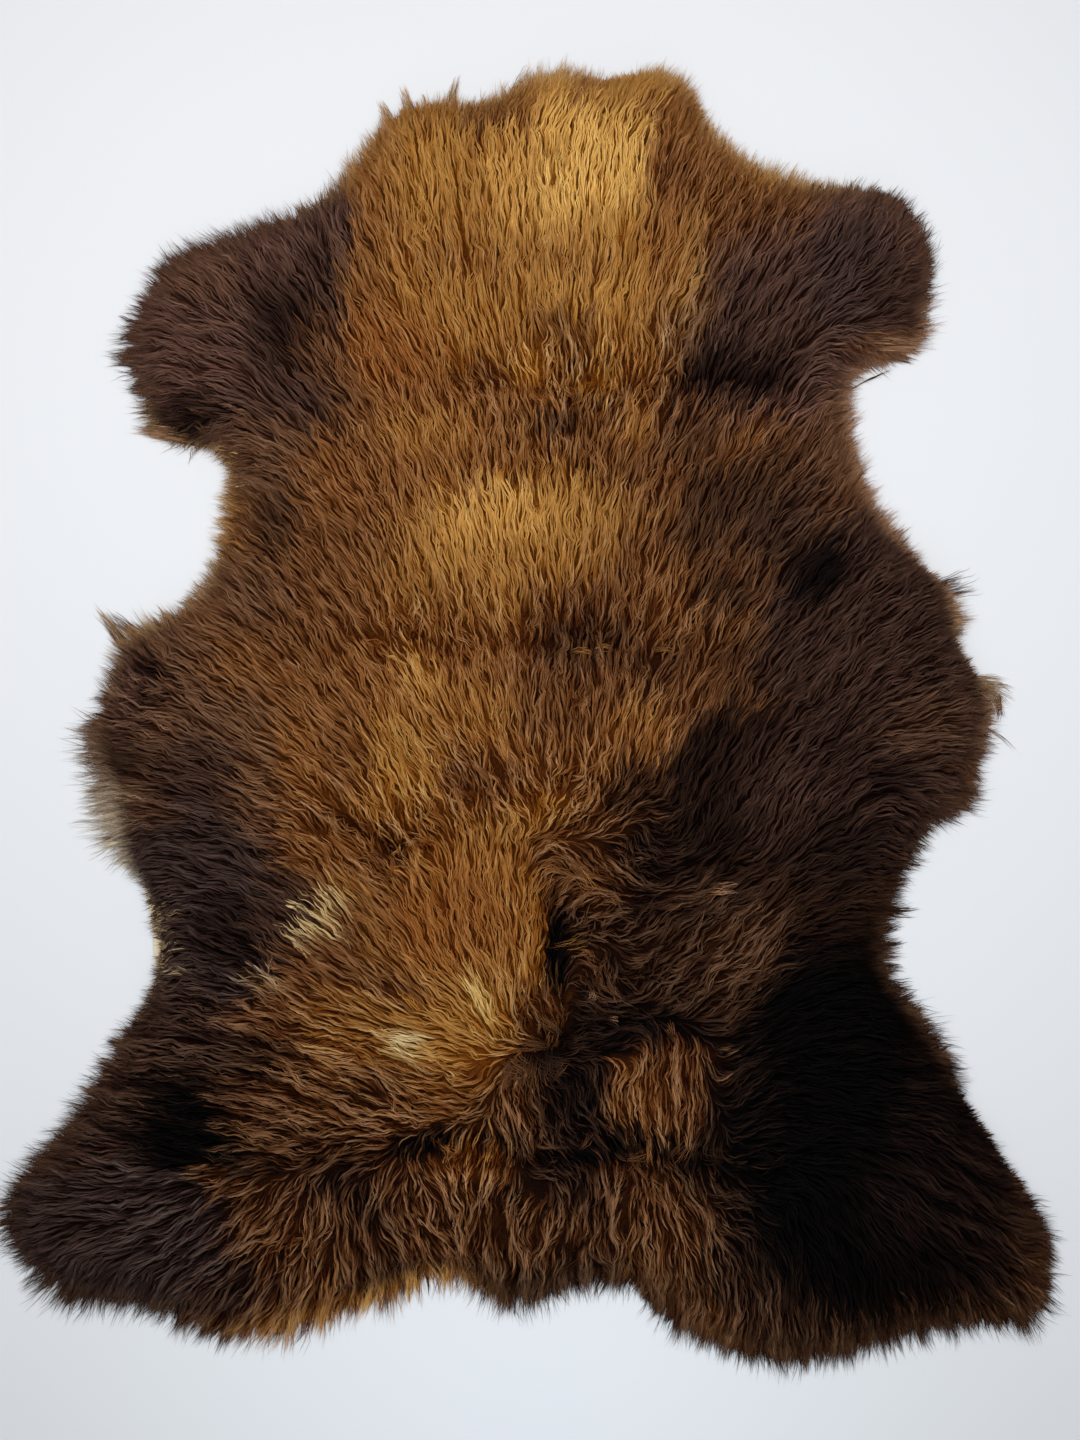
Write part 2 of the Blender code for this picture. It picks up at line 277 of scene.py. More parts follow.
RIM = {
    "shares": np.array([0.0, 0.38, 0.72, 1.0]),
    "widths": np.array([1.0, 1.0, 0.75, 0.0]),
    "light": np.array([0.45, 0.80, 1.0, 1.1]),
    "pitch": 0.96, "strands": 1, "longer": (0.56, 1.34), "turn": 9, "radius": 1.0,
    "stagger": 3.0, "stray": 2.2, "lift": 1.0, "width": 0.58, "wisp contrast": 0.12,
    "strand contrast": 0.16, "rim from": 0.0, "rim fade": 20.0, "rim share": 0.85,
    "rim thinning": 0.25, "roll": 40, "tint row": 1, "lock pull": 1.1, "way": "heading",
    "rim reach": 1.0,
}

# The short dense hair that stands out from the undercoat's edge under the rim's hair, in
# rows as the wool's are, with painted shade darkest at its roots.
SKIRT = {
    "shares": np.array([0.0, 0.55, 1.0]),
    "widths": np.array([1.0, 0.85, 0.0]),
    "light": np.array([0.5, 0.8, 1.0]),
    "pitch": 1.0, "strands": 1, "longer": (0.3, 0.62), "turn": 12, "radius": 1.0,
    "stagger": 2.0, "stray": 1.6, "lift": 0.4, "width": 1.3, "wisp contrast": 0.12,
    "strand contrast": 0.16, "rim from": 0.0, "rim fade": 18.0, "rim share": 0.8,
    "rim thinning": 0.1, "roll": 30, "tint row": 0, "lock pull": 0.6, "way": "outward",
    "rim reach": 1.0,
}

# Where roots may lie: how far each is shifted at random, as a share of the pitch, how far
# inside the leather's edge the wool's and the rim's begin, over how far the rim's thin out,
# and how far inside the foot the skirt's lie. How far the skirt points straight outward
# instead of along the comb.
SCATTER = 0.45
WOOL_INSIDE = 1.5
RIM_INSIDE = 0.8
RIM_BAND = 20.0
SKIRT_BAND = (-1.5, 3.5)
OUTWARD_SHARE = 0.55

# The bare leather edges: the left waist, and this far down the picture on the right one. No
# root lies less far inside the foot there.
RIGHT_WAIST = (808, 896)
BARE_INSIDE = 0.5

# How far a strand's shading is turned to its sides, as if it were round.
ROUNDING = math.radians(46)

# The most strands to a piece, so that each stays under 200,000 triangles.
PIECE_STRANDS = {"wool": 18000, "rim_wool": 39500, "skirt_wool": 60000}

# The empty margin round a strand's cell in the texture, as a share of the cell, and the
# number that the random draws start from.
CELL_MARGIN = 0.07
SEED = 7

# How much lighter a strand's tint is than the wool looks, with the shade between strands,
# and the power that turns an sRGB tone into linear light.
TONE_GAIN = 1.6
TONE_POWER = 2.2

# Tones of the wool, as sRGB values from 0 to 255.
TONES = {
    "ink": (8, 5, 4),
    "night": (24, 16, 13),
    "dark brown": (50, 34, 24),
    "charcoal": (48, 34, 28),
    "slate": (47, 36, 33),
    "chocolate": (70, 50, 42),
    "bark": (78, 55, 40),
    "umber": (86, 56, 34),
    "rust": (112, 70, 36),
    "brown": (108, 71, 40),
    "gold brown": (134, 92, 46),
    "old gold": (152, 108, 54),
    "gold": (172, 126, 66),
    "bright gold": (194, 150, 82),
    "pale gold": (180, 146, 86),
    "cream": (176, 152, 108),
    "amber": (62, 43, 31),
    "olive": (112, 90, 68),
    "fawn": (136, 110, 78),
    "tan": (138, 104, 80),
    "straw": (166, 132, 88),
    "milk": (176, 162, 140),
}

# How the wool is combed. Columns: across, down, which way the tips point in degrees
# counted from the right towards the neck, and the strands' length in millimetres.
COMB = {
    "neck": [
        (400, 108, 104, 15),
        (470, 104, 84, 21),
        (540, 84, 72, 30),
        (610, 80, 74, 17),
        (665, 84, 62, 24),
        (700, 128, 74, 25),
        (375, 150, 112, 24),
        (430, 180, 102, 32),
        (500, 170, 94, 33),
        (590, 160, 88, 34),
        (640, 190, 86, 34),
        (682, 170, 64, 32),
        (725, 215, 62, 32),
        (385, 270, 112, 34),
        (470, 280, 100, 34),
        (560, 270, 91, 34),
        (630, 290, 86, 34),
        (700, 290, 70, 34),
        (375, 360, 118, 34),
        (460, 350, 108, 34),
        (550, 350, 98, 33),
        (620, 350, 84, 33),
        (690, 350, 76, 34),
    ],
    "left shoulder": [
        (336, 190, 104, 33),
        (266, 225, 128, 25),
        (300, 208, 118, 15),
        (190, 251, 140, 32),
        (163, 270, 150, 29),
        (148, 295, 158, 23),
        (130, 349, 175, 32),
        (148, 398, 180, 27),
        (152, 425, 176, 30),
        (172, 432, 196, 32),
        (196, 438, 226, 30),
        (212, 446, 200, 18),
        (300, 260, 122, 34),
        (230, 290, 134, 34),
        (190, 340, 154, 34),
        (210, 400, 166, 34),
        (280, 370, 136, 34),
        (320, 330, 118, 34),
        (270, 430, 140, 33),
    ],
    "left flank": [
        (330, 450, 122, 34),
        (226, 470, 176, 15),
        (224, 510, 172, 13),
        (214, 560, 150, 23),
        (262, 520, 130, 33),
        (320, 560, 122, 34),
        (420, 470, 110, 34),
        (420, 560, 108, 34),
        (192, 592, 142, 13),
        (146, 624, 140, 32),
        (120, 640, 138, 21),
        (112, 668, 150, 31),
        (98, 720, 166, 21),
        (96, 750, 172, 48),
        (108, 795, 184, 48),
        (116, 840, 194, 46),
        (128, 862, 208, 14),
        (240, 620, 137, 34),
        (330, 640, 124, 34),
        (170, 690, 152, 35),
        (235, 700, 143, 35),
        (320, 720, 130, 35),
        (400, 700, 117, 35),
        (170, 770, 166, 35),
        (250, 780, 152, 35),
        (330, 800, 138, 35),
    ],
    "left waist": [
        (146, 895, 200, 11),
        (158, 950, 200, 7),
        (156, 982, 190, 9),
        (148, 1004, 184, 22),
        (190, 860, 164, 34),
        (265, 860, 152, 35),
        (335, 870, 138, 35),
        (220, 940, 154, 34),
        (280, 940, 146, 34),
        (200, 1000, 164, 34),
    ],
    "back": [
        (500, 470, 98, 34),
        (600, 470, 84, 34),
        (520, 560, 97, 35),
        (600, 560, 84, 35),
        (480, 620, 103, 35),
        (560, 620, 93, 34),
        (620, 630, 82, 34),
        (480, 700, 106, 35),
        (560, 700, 94, 34),
        (620, 700, 78, 34),
        (430, 770, 118, 35),
        (520, 790, 118, 34),
        (600, 780, 86, 34),
    ],
    "right shoulder": [
        (732, 150, 62, 22),
        (768, 168, 62, 21),
        (812, 184, 66, 22),
        (890, 192, 54, 21),
        (915, 215, 55, 25),
        (930, 243, 50, 27),
        (932, 275, 42, 27),
        (924, 310, 36, 31),
        (924, 334, 6, 32),
        (905, 348, -14, 30),
        (868, 352, -34, 28),
        (850, 366, -30, 23),
        (850, 388, 24, 20),
        (852, 414, 40, 20),
        (770, 220, 60, 33),
        (850, 260, 50, 33),
        (880, 310, 30, 33),
        (800, 320, 52, 34),
        (740, 300, 64, 34),
        (770, 380, 58, 34),
    ],
    "right flank": [
        (680, 470, 70, 34),
        (740, 440, 62, 34),
        (815, 430, 54, 33),
        (862, 470, 44, 32),
        (876, 505, 42, 26),
        (900, 540, 42, 26),
        (920, 572, 34, 15),
        (944, 588, 16, 18),
        (956, 614, 14, 36),
        (960, 644, 16, 12),
        (976, 680, 8, 9),
        (992, 706, 18, 32),
        (982, 735, -4, 25),
        (970, 782, -12, 16),
        (945, 800, -18, 35),
        (930, 805, -22, 31),
        (918, 818, -44, 16),
        (690, 560, 68, 34),
        (760, 560, 58, 34),
        (840, 560, 48, 34),
        (900, 620, 42, 34),
        (680, 650, 70, 34),
        (760, 650, 58, 35),
        (840, 660, 48, 35),
        (920, 690, 32, 35),
        (680, 740, 68, 35),
        (760, 740, 58, 35),
        (840, 740, 42, 35),
        (920, 750, 18, 35),
        (700, 820, 70, 35),
        (780, 815, 64, 35),
        (860, 820, 40, 35),
    ],
    "right waist": [
        (914, 840, -24, 20),
        (892, 886, -14, 19),
        (884, 914, -8, 24),
        (880, 945, -12, 23),
        (884, 974, -14, 19),
        (840, 890, 24, 34),
        (780, 900, 48, 35),
        (845, 960, 4, 35),
        (780, 980, 28, 35),
        (710, 880, 66, 34),
    ],
    "smooth gold fan": [
        (518, 900, 93, 36),
        (546, 896, 80, 36),
        (538, 930, 88, 36),
        (480, 900, 103, 36),
        (430, 920, 115, 36),
        (370, 930, 126, 36),
        (520, 980, 97, 36),
        (543, 968, 98, 36),
        (554, 1000, 114, 36),
        (556, 1022, 126, 34),
        (490, 1000, 116, 36),
        (445, 1000, 138, 37),
        (380, 990, 144, 37),
        (320, 965, 142, 36),
        (480, 1040, 158, 37),
        (420, 1045, 160, 38),
        (350, 1040, 162, 38),
        (280, 1025, 158, 38),
        (462, 1085, 152, 36),
        (400, 1090, 148, 38),
        (330, 1090, 156, 38),
        (250, 1080, 168, 38),
        (180, 1060, 170, 37),
    ],
    "dark side of the parting": [
        (572, 812, 62, 32),
        (610, 822, 50, 30),
        (572, 862, -50, 30),
        (604, 858, -52, 30),
        (640, 845, -50, 30),
        (628, 885, -42, 30),
        (690, 895, 8, 33),
        (722, 882, 4, 30),
        (585, 905, 40, 32),
        (640, 918, 46, 34),
        (700, 928, 56, 34),
        (750, 940, 50, 35),
        (580, 935, 6, 30),
        (602, 968, -80, 28),
        (650, 975, 42, 34),
        (705, 985, 40, 35),
        (760, 990, 40, 35),
        (576, 1006, -44, 30),
        (575, 1035, 6, 32),
        (620, 1045, 26, 32),
        (735, 1030, 30, 34),
    ],
    "tuft and curls": [
        (618, 1074, -128, 28),
        (655, 1060, -106, 36),
        (692, 1060, -95, 36),
        (606, 1108, -66, 30),
        (632, 1105, -84, 36),
        (662, 1105, -86, 36),
        (696, 1105, -92, 36),
        (706, 1130, -112, 30),
        (590, 1128, -42, 30),
        (558, 1135, -54, 30),
        (548, 1168, -12, 30),
        (735, 1085, 52, 34),
        (745, 1125, 24, 32),
        (760, 1165, 8, 32),
        (740, 1206, -6, 30),
        (520, 1112, -66, 32),
        (487, 1076, -118, 26),
        (430, 1176, -68, 32),
        (466, 1180, -76, 30),
        (492, 1165, -118, 28),
        (385, 1182, -115, 28),
        (366, 1150, 176, 34),
    ],
    "left hind": [
        (130, 1040, 170, 29),
        (90, 1090, 173, 27),
        (28, 1176, 166, 31),
        (16, 1204, 178, 37),
        (16, 1234, 198, 36),
        (34, 1265, 222, 25),
        (66, 1285, 236, 48),
        (100, 1296, 244, 40),
        (150, 1303, 240, 30),
        (236, 1330, 236, 32),
        (286, 1321, 246, 47),
        (330, 1304, 258, 50),
        (380, 1289, 262, 43),
        (280, 1140, 160, 38),
        (200, 1140, 171, 38),
        (120, 1140, 172, 37),
        (90, 1200, 180, 37),
        (130, 1240, 198, 37),
        (200, 1240, 212, 38),
        (270, 1230, 220, 38),
        (302, 1205, 248, 36),
        (332, 1205, 276, 34),
        (300, 1262, 244, 38),
        (345, 1262, 286, 36),
    ],
    "tail": [
        (424, 1274, 268, 45),
        (483, 1288, 272, 32),
        (526, 1297, 270, 37),
        (590, 1281, 275, 27),
        (623, 1278, 268, 27),
        (645, 1296, 264, 37),
        (668, 1311, 258, 37),
        (706, 1335, 262, 26),
        (746, 1350, 270, 28),
        (800, 1354, 272, 34),
        (846, 1346, 275, 32),
        (936, 1320, 280, 36),
        (402, 1225, 308, 34),
        (438, 1236, 304, 34),
        (480, 1230, 272, 36),
        (522, 1228, 254, 36),
        (548, 1200, 238, 34),
        (600, 1200, 256, 36),
        (640, 1202, 278, 36),
        (700, 1212, 296, 36),
        (600, 1245, 268, 37),
        (670, 1240, 284, 37),
        (740, 1260, 282, 37),
        (780, 1290, 272, 37),
        (860, 1290, 280, 37),
    ],
    "right hind": [
        (906, 1004, -4, 44),
        (938, 1046, -8, 40),
        (966, 1096, -14, 13),
        (1003, 1149, -14, 14),
        (1040, 1229, -14, 28),
        (1049, 1269, -26, 22),
        (1044, 1299, -44, 36),
        (1018, 1315, -64, 44),
        (830, 1050, 2, 36),
        (870, 1120, -12, 37),
        (940, 1160, -34, 36),
        (980, 1230, -42, 36),
        (900, 1240, -46, 37),
        (820, 1230, -66, 37),
        (800, 1130, 4, 37),
        (838, 1085, -4, 34),
    ],
}

# How fast a row of the comb's table loses its say with distance, in pixels and as a power.
COMB_REACH = 16.0
COMB_POWER = 3.4

# How unevenly partings run, in pixels, and how dark the painted shade of one is that hair
# doesn't cross. A strand that crosses one within this share of its length isn't held back.
PARTING_NOISE = 26.0
PARTING_WOBBLE = 8.0
FIRM_PARTING = 0.45
NEAR_ROOT = 0.1

# How partings break up: the share of them that shows and how far that varies, and over how
# many pixels.
PARTING_BREAKS = {"mean": 0.75, "varied": 0.8}
PARTING_BREAK_SIZE = 17

# The tone that lies under all patches.
GROUND_TONE = "umber"

# Soft patches of colour, painted one over the other: the wool's own colours, and dark
# patches of painted shade where noted along creases, partings and a hollow. Columns: across,
# down, half width, half height, turn in degrees, how soft its edge is, tone and strength.
PATCHES = {
    "ground": [
        (520, 260, 210, 220, 0, 0.4, "brown", 1.0),
        (440, 640, 250, 270, 0, 0.6, "brown", 1.0),
        (650, 590, 135, 200, 0, 0.5, "umber", 1.0),
        (285, 540, 90, 150, 0, 0.8, "umber", 0.85),
        (560, 1180, 420, 160, 0, 0.4, "dark brown", 1.0),
        (660, 930, 130, 130, 0, 0.3, "dark brown", 1.0),
    ],
    "neck": [
        (500, 215, 165, 150, 0, 0.5, "gold brown", 1.0),
        (425, 165, 44, 46, 0, 0.8, "old gold", 0.8),
        (560, 120, 44, 44, 0, 0.8, "gold", 0.9),
        (592, 172, 66, 56, 0, 1.1, "bright gold", 0.85),
        (555, 208, 60, 22, 12, 0.8, "bright gold", 0.4),
        (366, 200, 34, 90, 0, 0.8, "brown", 0.75),
        (600, 84, 60, 12, 0, 0.8, "gold brown", 0.5),
        (505, 178, 22, 50, 0, 0.8, "gold", 0.75),
        (650, 82, 44, 20, 0, 0.8, "old gold", 0.9),
        (552, 156, 20, 10, 0, 0.8, "gold brown", 0.7),
        (580, 92, 10, 18, 0, 0.8, "brown", 0.8),
        (525, 112, 14, 24, 0, 0.8, "brown", 0.7),
        (484, 112, 30, 17, 8, 0.6, "umber", 0.95),
        (700, 150, 50, 88, 0, 0.2, "brown", 0.95),
        (676, 180, 24, 30, 0, 0.7, "umber", 0.8),
        (455, 265, 46, 16, 0, 0.8, "brown", 0.8),
        (590, 300, 56, 60, 0, 0.8, "old gold", 0.8),
        (580, 262, 50, 12, 0, 0.8, "brown", 0.6),
        (655, 340, 44, 40, 0, 0.8, "gold brown", 0.7),
        (702, 292, 38, 60, 8, 0.8, "old gold", 0.9),
        (362, 280, 30, 34, 0, 0.8, "umber", 0.5),
        (395, 345, 50, 50, 0, 0.8, "rust", 0.8),
        (438, 305, 40, 24, 0, 0.8, "gold brown", 0.6),
        (566, 326, 34, 22, 0, 0.7, "umber", 0.75),
        (586, 364, 26, 18, 0, 0.8, "umber", 0.8),
        (516, 372, 30, 14, 0, 0.8, "gold", 0.8),
        (596, 380, 30, 12, 0, 0.8, "old gold", 0.8),
        (478, 378, 36, 16, 0, 0.8, "umber", 0.8),
        (664, 236, 26, 46, 0, 0.8, "brown", 0.6),
        (430, 116, 40, 12, 0, 0.8, "brown", 0.6),
    ],
    "back": [
        # Painted shadow in the crease under the ridge.
        (562, 426, 50, 14, 0, 0.7, "dark brown", 0.55),
        (560, 440, 70, 26, 0, 0.8, "brown", 0.6),
        (432, 432, 50, 18, 0, 0.8, "gold brown", 0.7),
        (633, 424, 18, 22, 0, 0.8, "gold brown", 0.7),
        (516, 522, 112, 44, 6, 1.0, "old gold", 0.85),
        (500, 520, 66, 28, 6, 1.0, "gold", 0.6),
        (508, 492, 34, 20, 0, 0.8, "bright gold", 0.3),
        (460, 586, 74, 30, 0, 0.8, "old gold", 0.7),
        (550, 560, 60, 26, 0, 0.8, "gold brown", 0.8),
        # This row and the next: painted shade along the fold.
        (590, 632, 46, 18, 0, 0.8, "dark brown", 0.7),
        (652, 664, 42, 14, 0, 0.8, "dark brown", 0.5),
        (672, 580, 40, 44, 0, 0.8, "brown", 0.5),
        (416, 672, 30, 22, -20, 0.8, "gold", 0.7),
        (372, 672, 30, 34, 0, 0.8, "brown", 0.6),
        (470, 714, 54, 34, 0, 0.8, "gold brown", 0.6),
        (402, 756, 50, 50, 0, 0.8, "gold brown", 1.0),
        (350, 748, 26, 42, 0, 0.8, "umber", 0.6),
        (408, 760, 28, 28, 0, 0.8, "old gold", 0.7),
        (478, 774, 36, 18, 0, 0.8, "umber", 0.9),
        (556, 690, 36, 18, 0, 0.8, "umber", 0.7),
        (618, 742, 66, 40, 0, 0.8, "brown", 1.0),
        (560, 712, 50, 24, 0, 0.8, "umber", 0.6),
        (640, 716, 30, 20, 0, 0.8, "gold brown", 0.4),
        (642, 788, 34, 20, 0, 0.8, "dark brown", 0.5),
        (390, 812, 44, 16, 8, 0.8, "gold brown", 0.7),
        (520, 814, 60, 15, 12, 0.8, "gold brown", 1.0),
        (590, 832, 50, 30, 20, 0.8, "umber", 0.8),
        (568, 842, 20, 14, 0, 0.8, "brown", 0.5),
        (350, 824, 50, 13, -12, 0.8, "umber", 0.85),
        # Painted shade along the fold.
        (416, 855, 44, 15, 8, 0.8, "dark brown", 0.85),
        (350, 884, 22, 14, 0, 0.8, "gold brown", 0.6),
    ],
    "left shoulder": [
        (222, 330, 122, 124, 0, 0.25, "chocolate", 1.0),
        (284, 322, 40, 50, 0, 0.7, "charcoal", 0.95),
        (318, 230, 36, 66, 0, 0.3, "chocolate", 1.0),
        (322, 285, 26, 60, 0, 0.6, "charcoal", 0.8),
        (322, 356, 24, 36, 0, 0.8, "umber", 0.7),
        (286, 332, 36, 36, 0, 0.9, "night", 0.35),
        (180, 420, 50, 30, 0, 0.7, "charcoal", 0.8),
        (184, 414, 16, 28, -25, 0.8, "night", 0.55),
        (196, 430, 6, 13, 0, 0.8, "ink", 0.9),
        (300, 402, 60, 30, 0, 0.8, "charcoal", 0.6),
        (190, 270, 60, 30, -20, 0.8, "bark", 0.4),
    ],
    "left flank": [
        (262, 462, 56, 46, 0, 0.8, "bark", 0.95),
        (272, 525, 24, 28, 0, 0.8, "dark brown", 0.8),
        (330, 480, 40, 30, 0, 0.8, "rust", 0.4),
        (240, 590, 50, 46, 0, 0.8, "bark", 0.7),
        (120, 730, 105, 150, 0, 0.5, "bark", 1.0),
        (225, 725, 54, 40, 20, 0.8, "bark", 0.8),
        (196, 766, 40, 34, 0, 0.8, "charcoal", 0.8),
        (190, 838, 74, 66, 0, 0.7, "charcoal", 1.0),
        (254, 790, 30, 44, 0, 0.8, "bark", 0.75),
        (118, 690, 40, 50, 0, 0.8, "chocolate", 0.7),
        (180, 920, 100, 110, 0, 0.5, "slate", 1.0),
        (150, 812, 26, 14, 0, 0.8, "bark", 0.7),
        (232, 930, 40, 36, 0, 0.8, "night", 0.7),
        (284, 905, 26, 36, -30, 0.7, "charcoal", 0.9),
        (157, 946, 6, 44, 3, 0.8, "cream", 0.6),
        (219, 464, 7, 22, 26, 0.6, "straw", 0.9),
        (226, 516, 6, 40, 0, 0.8, "old gold", 0.6),
        # Painted shade in the hollow.
        (152, 668, 17, 12, -20, 0.8, "night", 0.85),
        (108, 795, 26, 10, 10, 0.8, "olive", 0.8),
        (112, 838, 16, 26, 10, 0.8, "olive", 0.6),
    ],
    "right shoulder": [
        (752, 225, 52, 66, 0, 0.8, "umber", 0.9),
        (780, 330, 108, 100, 0, 0.6, "chocolate", 1.0),
        (772, 326, 70, 60, 0, 0.9, "charcoal", 0.7),
        (868, 275, 78, 98, 0, 0.5, "chocolate", 1.0),
        (850, 275, 50, 60, 0, 0.8, "slate", 0.8),
        (900, 300, 36, 40, 0, 0.8, "charcoal", 0.7),
        (775, 170, 40, 11, -14, 0.7, "gold brown", 0.9),
        (730, 376, 60, 30, 0, 0.7, "night", 0.8),
        (890, 344, 46, 10, 6, 0.7, "umber", 0.7),
        (851, 388, 6, 22, 0, 0.7, "tan", 0.6),
        (694, 300, 24, 40, 8, 0.8, "old gold", 0.25),
        (690, 440, 26, 22, 0, 0.8, "dark brown", 0.6),
        (765, 436, 34, 16, 0, 0.8, "rust", 0.35),
        (784, 478, 56, 44, 0, 0.8, "dark brown", 0.7),
    ],
    "right flank": [
        (850, 452, 44, 56, 0, 0.7, "bark", 0.7),
        (730, 495, 50, 30, 0, 0.8, "dark brown", 0.9),
        (775, 535, 30, 34, 20, 0.8, "charcoal", 0.9),
        (905, 640, 150, 140, 0, 0.25, "charcoal", 1.0),
        (812, 570, 34, 30, 30, 0.7, "ink", 0.8),
        (725, 594, 34, 20, 0, 0.8, "dark brown", 0.9),
        (700, 528, 36, 26, 0, 0.8, "dark brown", 0.6),
        (740, 668, 34, 32, 0, 0.8, "dark brown", 0.5),
        (735, 628, 34, 16, 0, 0.8, "umber", 0.6),
        (745, 775, 76, 76, 0, 0.25, "night", 0.9),
        (830, 800, 90, 90, 0, 0.6, "charcoal", 1.0),
        (925, 805, 50, 60, 0, 0.5, "charcoal", 1.0),
        (940, 720, 50, 30, 0, 0.8, "bark", 0.5),
        (890, 782, 30, 18, 0, 0.8, "night", 0.7),
        (846, 900, 70, 90, 0, 0.6, "night", 0.75),
        (835, 745, 36, 36, 0, 0.8, "night", 0.4),
    ],
    "lower middle": [
        (690, 870, 90, 50, 0, 0.7, "night", 0.5),
        (458, 940, 95, 106, 0, 0.15, "gold brown", 1.0),
        (455, 915, 74, 70, 0, 0.8, "rust", 0.85),
        (360, 984, 64, 24, 0, 0.8, "umber", 0.95),
        (478, 1000, 34, 40, 0, 0.8, "old gold", 0.6),
        (345, 1025, 60, 36, 0, 0.8, "gold brown", 0.8),
        (450, 1055, 80, 34, 0, 0.7, "gold brown", 1.0),
        (536, 1014, 20, 34, 0, 0.8, "umber", 0.8),
        (380, 916, 26, 60, 0, 0.8, "umber", 0.5),
        (532, 1062, 28, 16, 0, 0.8, "dark brown", 0.7),
        (562, 880, 34, 20, 0, 0.8, "brown", 0.5),
        (390, 1092, 110, 46, -10, 0.8, "brown", 0.75),
        (265, 1020, 44, 26, 0, 0.8, "umber", 0.9),
        # Painted shade in the dark slit along the parting.
        (560, 948, 14, 34, 2, 0.6, "ink", 0.95),
        (592, 965, 12, 36, 0, 0.8, "umber", 0.6),
        (598, 885, 30, 30, 0, 0.8, "umber", 0.7),
        (748, 946, 46, 42, 0, 0.8, "bark", 0.75),
        (694, 892, 36, 9, 0, 0.8, "bark", 0.6),
        (630, 1025, 80, 34, 0, 0.7, "night", 0.9),
        (600, 990, 30, 30, 0, 0.8, "dark brown", 0.5),
        (522, 1095, 30, 50, 20, 0.8, "umber", 0.95),
        (572, 1110, 36, 60, 0, 0.8, "night", 0.8),
        (664, 1084, 54, 48, 0, 0.35, "umber", 1.0),
        (636, 1098, 30, 34, 0, 0.8, "brown", 0.65),
        (660, 1040, 66, 12, 0, 0.8, "night", 0.7),
        (664, 1186, 26, 30, 0, 0.8, "ink", 0.6),
        (740, 540, 60, 50, 0, 0.8, "dark brown", 0.4),
        (810, 505, 26, 26, 0, 0.8, "charcoal", 0.5),
        # Painted shadow in the crease under the ridge.
        (556, 425, 24, 12, 0, 0.8, "dark brown", 0.8),
        (440, 592, 46, 20, 0, 0.8, "umber", 0.4),
        (425, 745, 40, 28, 0, 0.8, "umber", 0.2),
        (640, 782, 34, 24, 0, 0.8, "night", 0.5),
        (125, 755, 22, 26, 0, 0.8, "night", 0.6),
        # Painted shade along the fold.
        (560, 662, 30, 12, 0, 0.8, "dark brown", 0.6),
        (330, 1010, 50, 24, 0, 0.8, "umber", 0.3),
        (240, 1052, 50, 20, 0, 0.8, "night", 0.5),
        (480, 985, 40, 20, 0, 0.8, "umber", 0.25),
        (432, 1270, 34, 14, 0, 0.8, "dark brown", 0.7),
        (560, 1008, 16, 24, 0, 0.8, "brown", 0.6),
        (530, 1130, 40, 20, 0, 0.8, "umber", 0.25),
        (800, 1318, 110, 28, 0, 0.8, "charcoal", 0.5),
        (392, 182, 14, 30, 0, 0.8, "old gold", 0.5),
        (60, 1168, 40, 16, 0, 0.8, "charcoal", 0.5),
        (244, 592, 30, 24, 0, 0.8, "bark", 0.4),
        # Painted shade along the parting.
        (640, 1152, 74, 16, 3, 0.7, "ink", 0.85),
        (664, 1176, 40, 16, 0, 0.8, "night", 0.5),
    ],
    "cream hairs": [
        (316, 915, 10, 37, -41, 0.7, "cream", 0.88),
        (262, 976, 26, 7, -8, 0.8, "cream", 0.35),
        (403, 1041, 17, 19, -30, 0.9, "cream", 0.85),
        (446, 1046, 26, 10, 0, 0.8, "old gold", 0.6),
        (476, 990, 10, 30, 20, 0.8, "pale gold", 0.7),
    ],
    "left hind": [
        (130, 1040, 110, 60, 0, 0.7, "charcoal", 0.9),
        (90, 1130, 70, 50, -30, 0.6, "charcoal", 1.0),
        (184, 1136, 52, 62, 20, 0.9, "ink", 1.0),
        (110, 1245, 132, 84, 0, 0.3, "slate", 1.0),
        (214, 1296, 44, 30, 0, 0.8, "charcoal", 0.9),
        (300, 1120, 70, 50, 0, 0.8, "umber", 0.6),
        (360, 1084, 40, 12, 20, 0.8, "dark brown", 0.3),
        (400, 1182, 28, 22, 0, 0.8, "umber", 0.7),
        (388, 1140, 22, 34, 0, 0.8, "umber", 0.8),
        # This row and the next: painted shade along the parting.
        (425, 1142, 36, 13, 0, 0.8, "ink", 0.8),
        (500, 1138, 30, 10, 0, 0.8, "night", 0.5),
        (445, 1100, 26, 12, -20, 0.8, "brown", 0.8),
        (464, 1170, 46, 22, 0, 0.8, "brown", 0.95),
        (480, 1152, 24, 12, 0, 0.8, "gold brown", 0.7),
    ],
    "tail": [
        (272, 1222, 50, 44, 0, 0.6, "umber", 0.8),
        (214, 1178, 26, 12, -30, 0.7, "umber", 0.8),
        (325, 1250, 60, 44, 0, 0.8, "umber", 0.75),
        (304, 1312, 70, 16, 8, 0.8, "rust", 0.6),
        (435, 1230, 44, 44, 0, 0.8, "umber", 0.9),
        (515, 1230, 56, 40, 0, 0.8, "umber", 0.8),
        (655, 1220, 54, 66, 0, 0.7, "umber", 0.85),
        (588, 1240, 24, 24, 0, 0.8, "umber", 0.6),
    ],
    "right hind": [
        (860, 1130, 130, 200, 0, 0.5, "ink", 1.0),
        (800, 1040, 60, 60, 0, 0.7, "ink", 0.8),
        (960, 1215, 90, 110, 0, 0.7, "night", 0.95),
        (900, 1270, 60, 40, 0, 0.8, "ink", 0.6),
        (742, 1100, 40, 56, 0, 0.8, "night", 0.6),
        (1030, 1240, 26, 70, 0, 0.8, "dark brown", 0.6),
        (935, 1075, 30, 60, -20, 0.8, "night", 0.6),
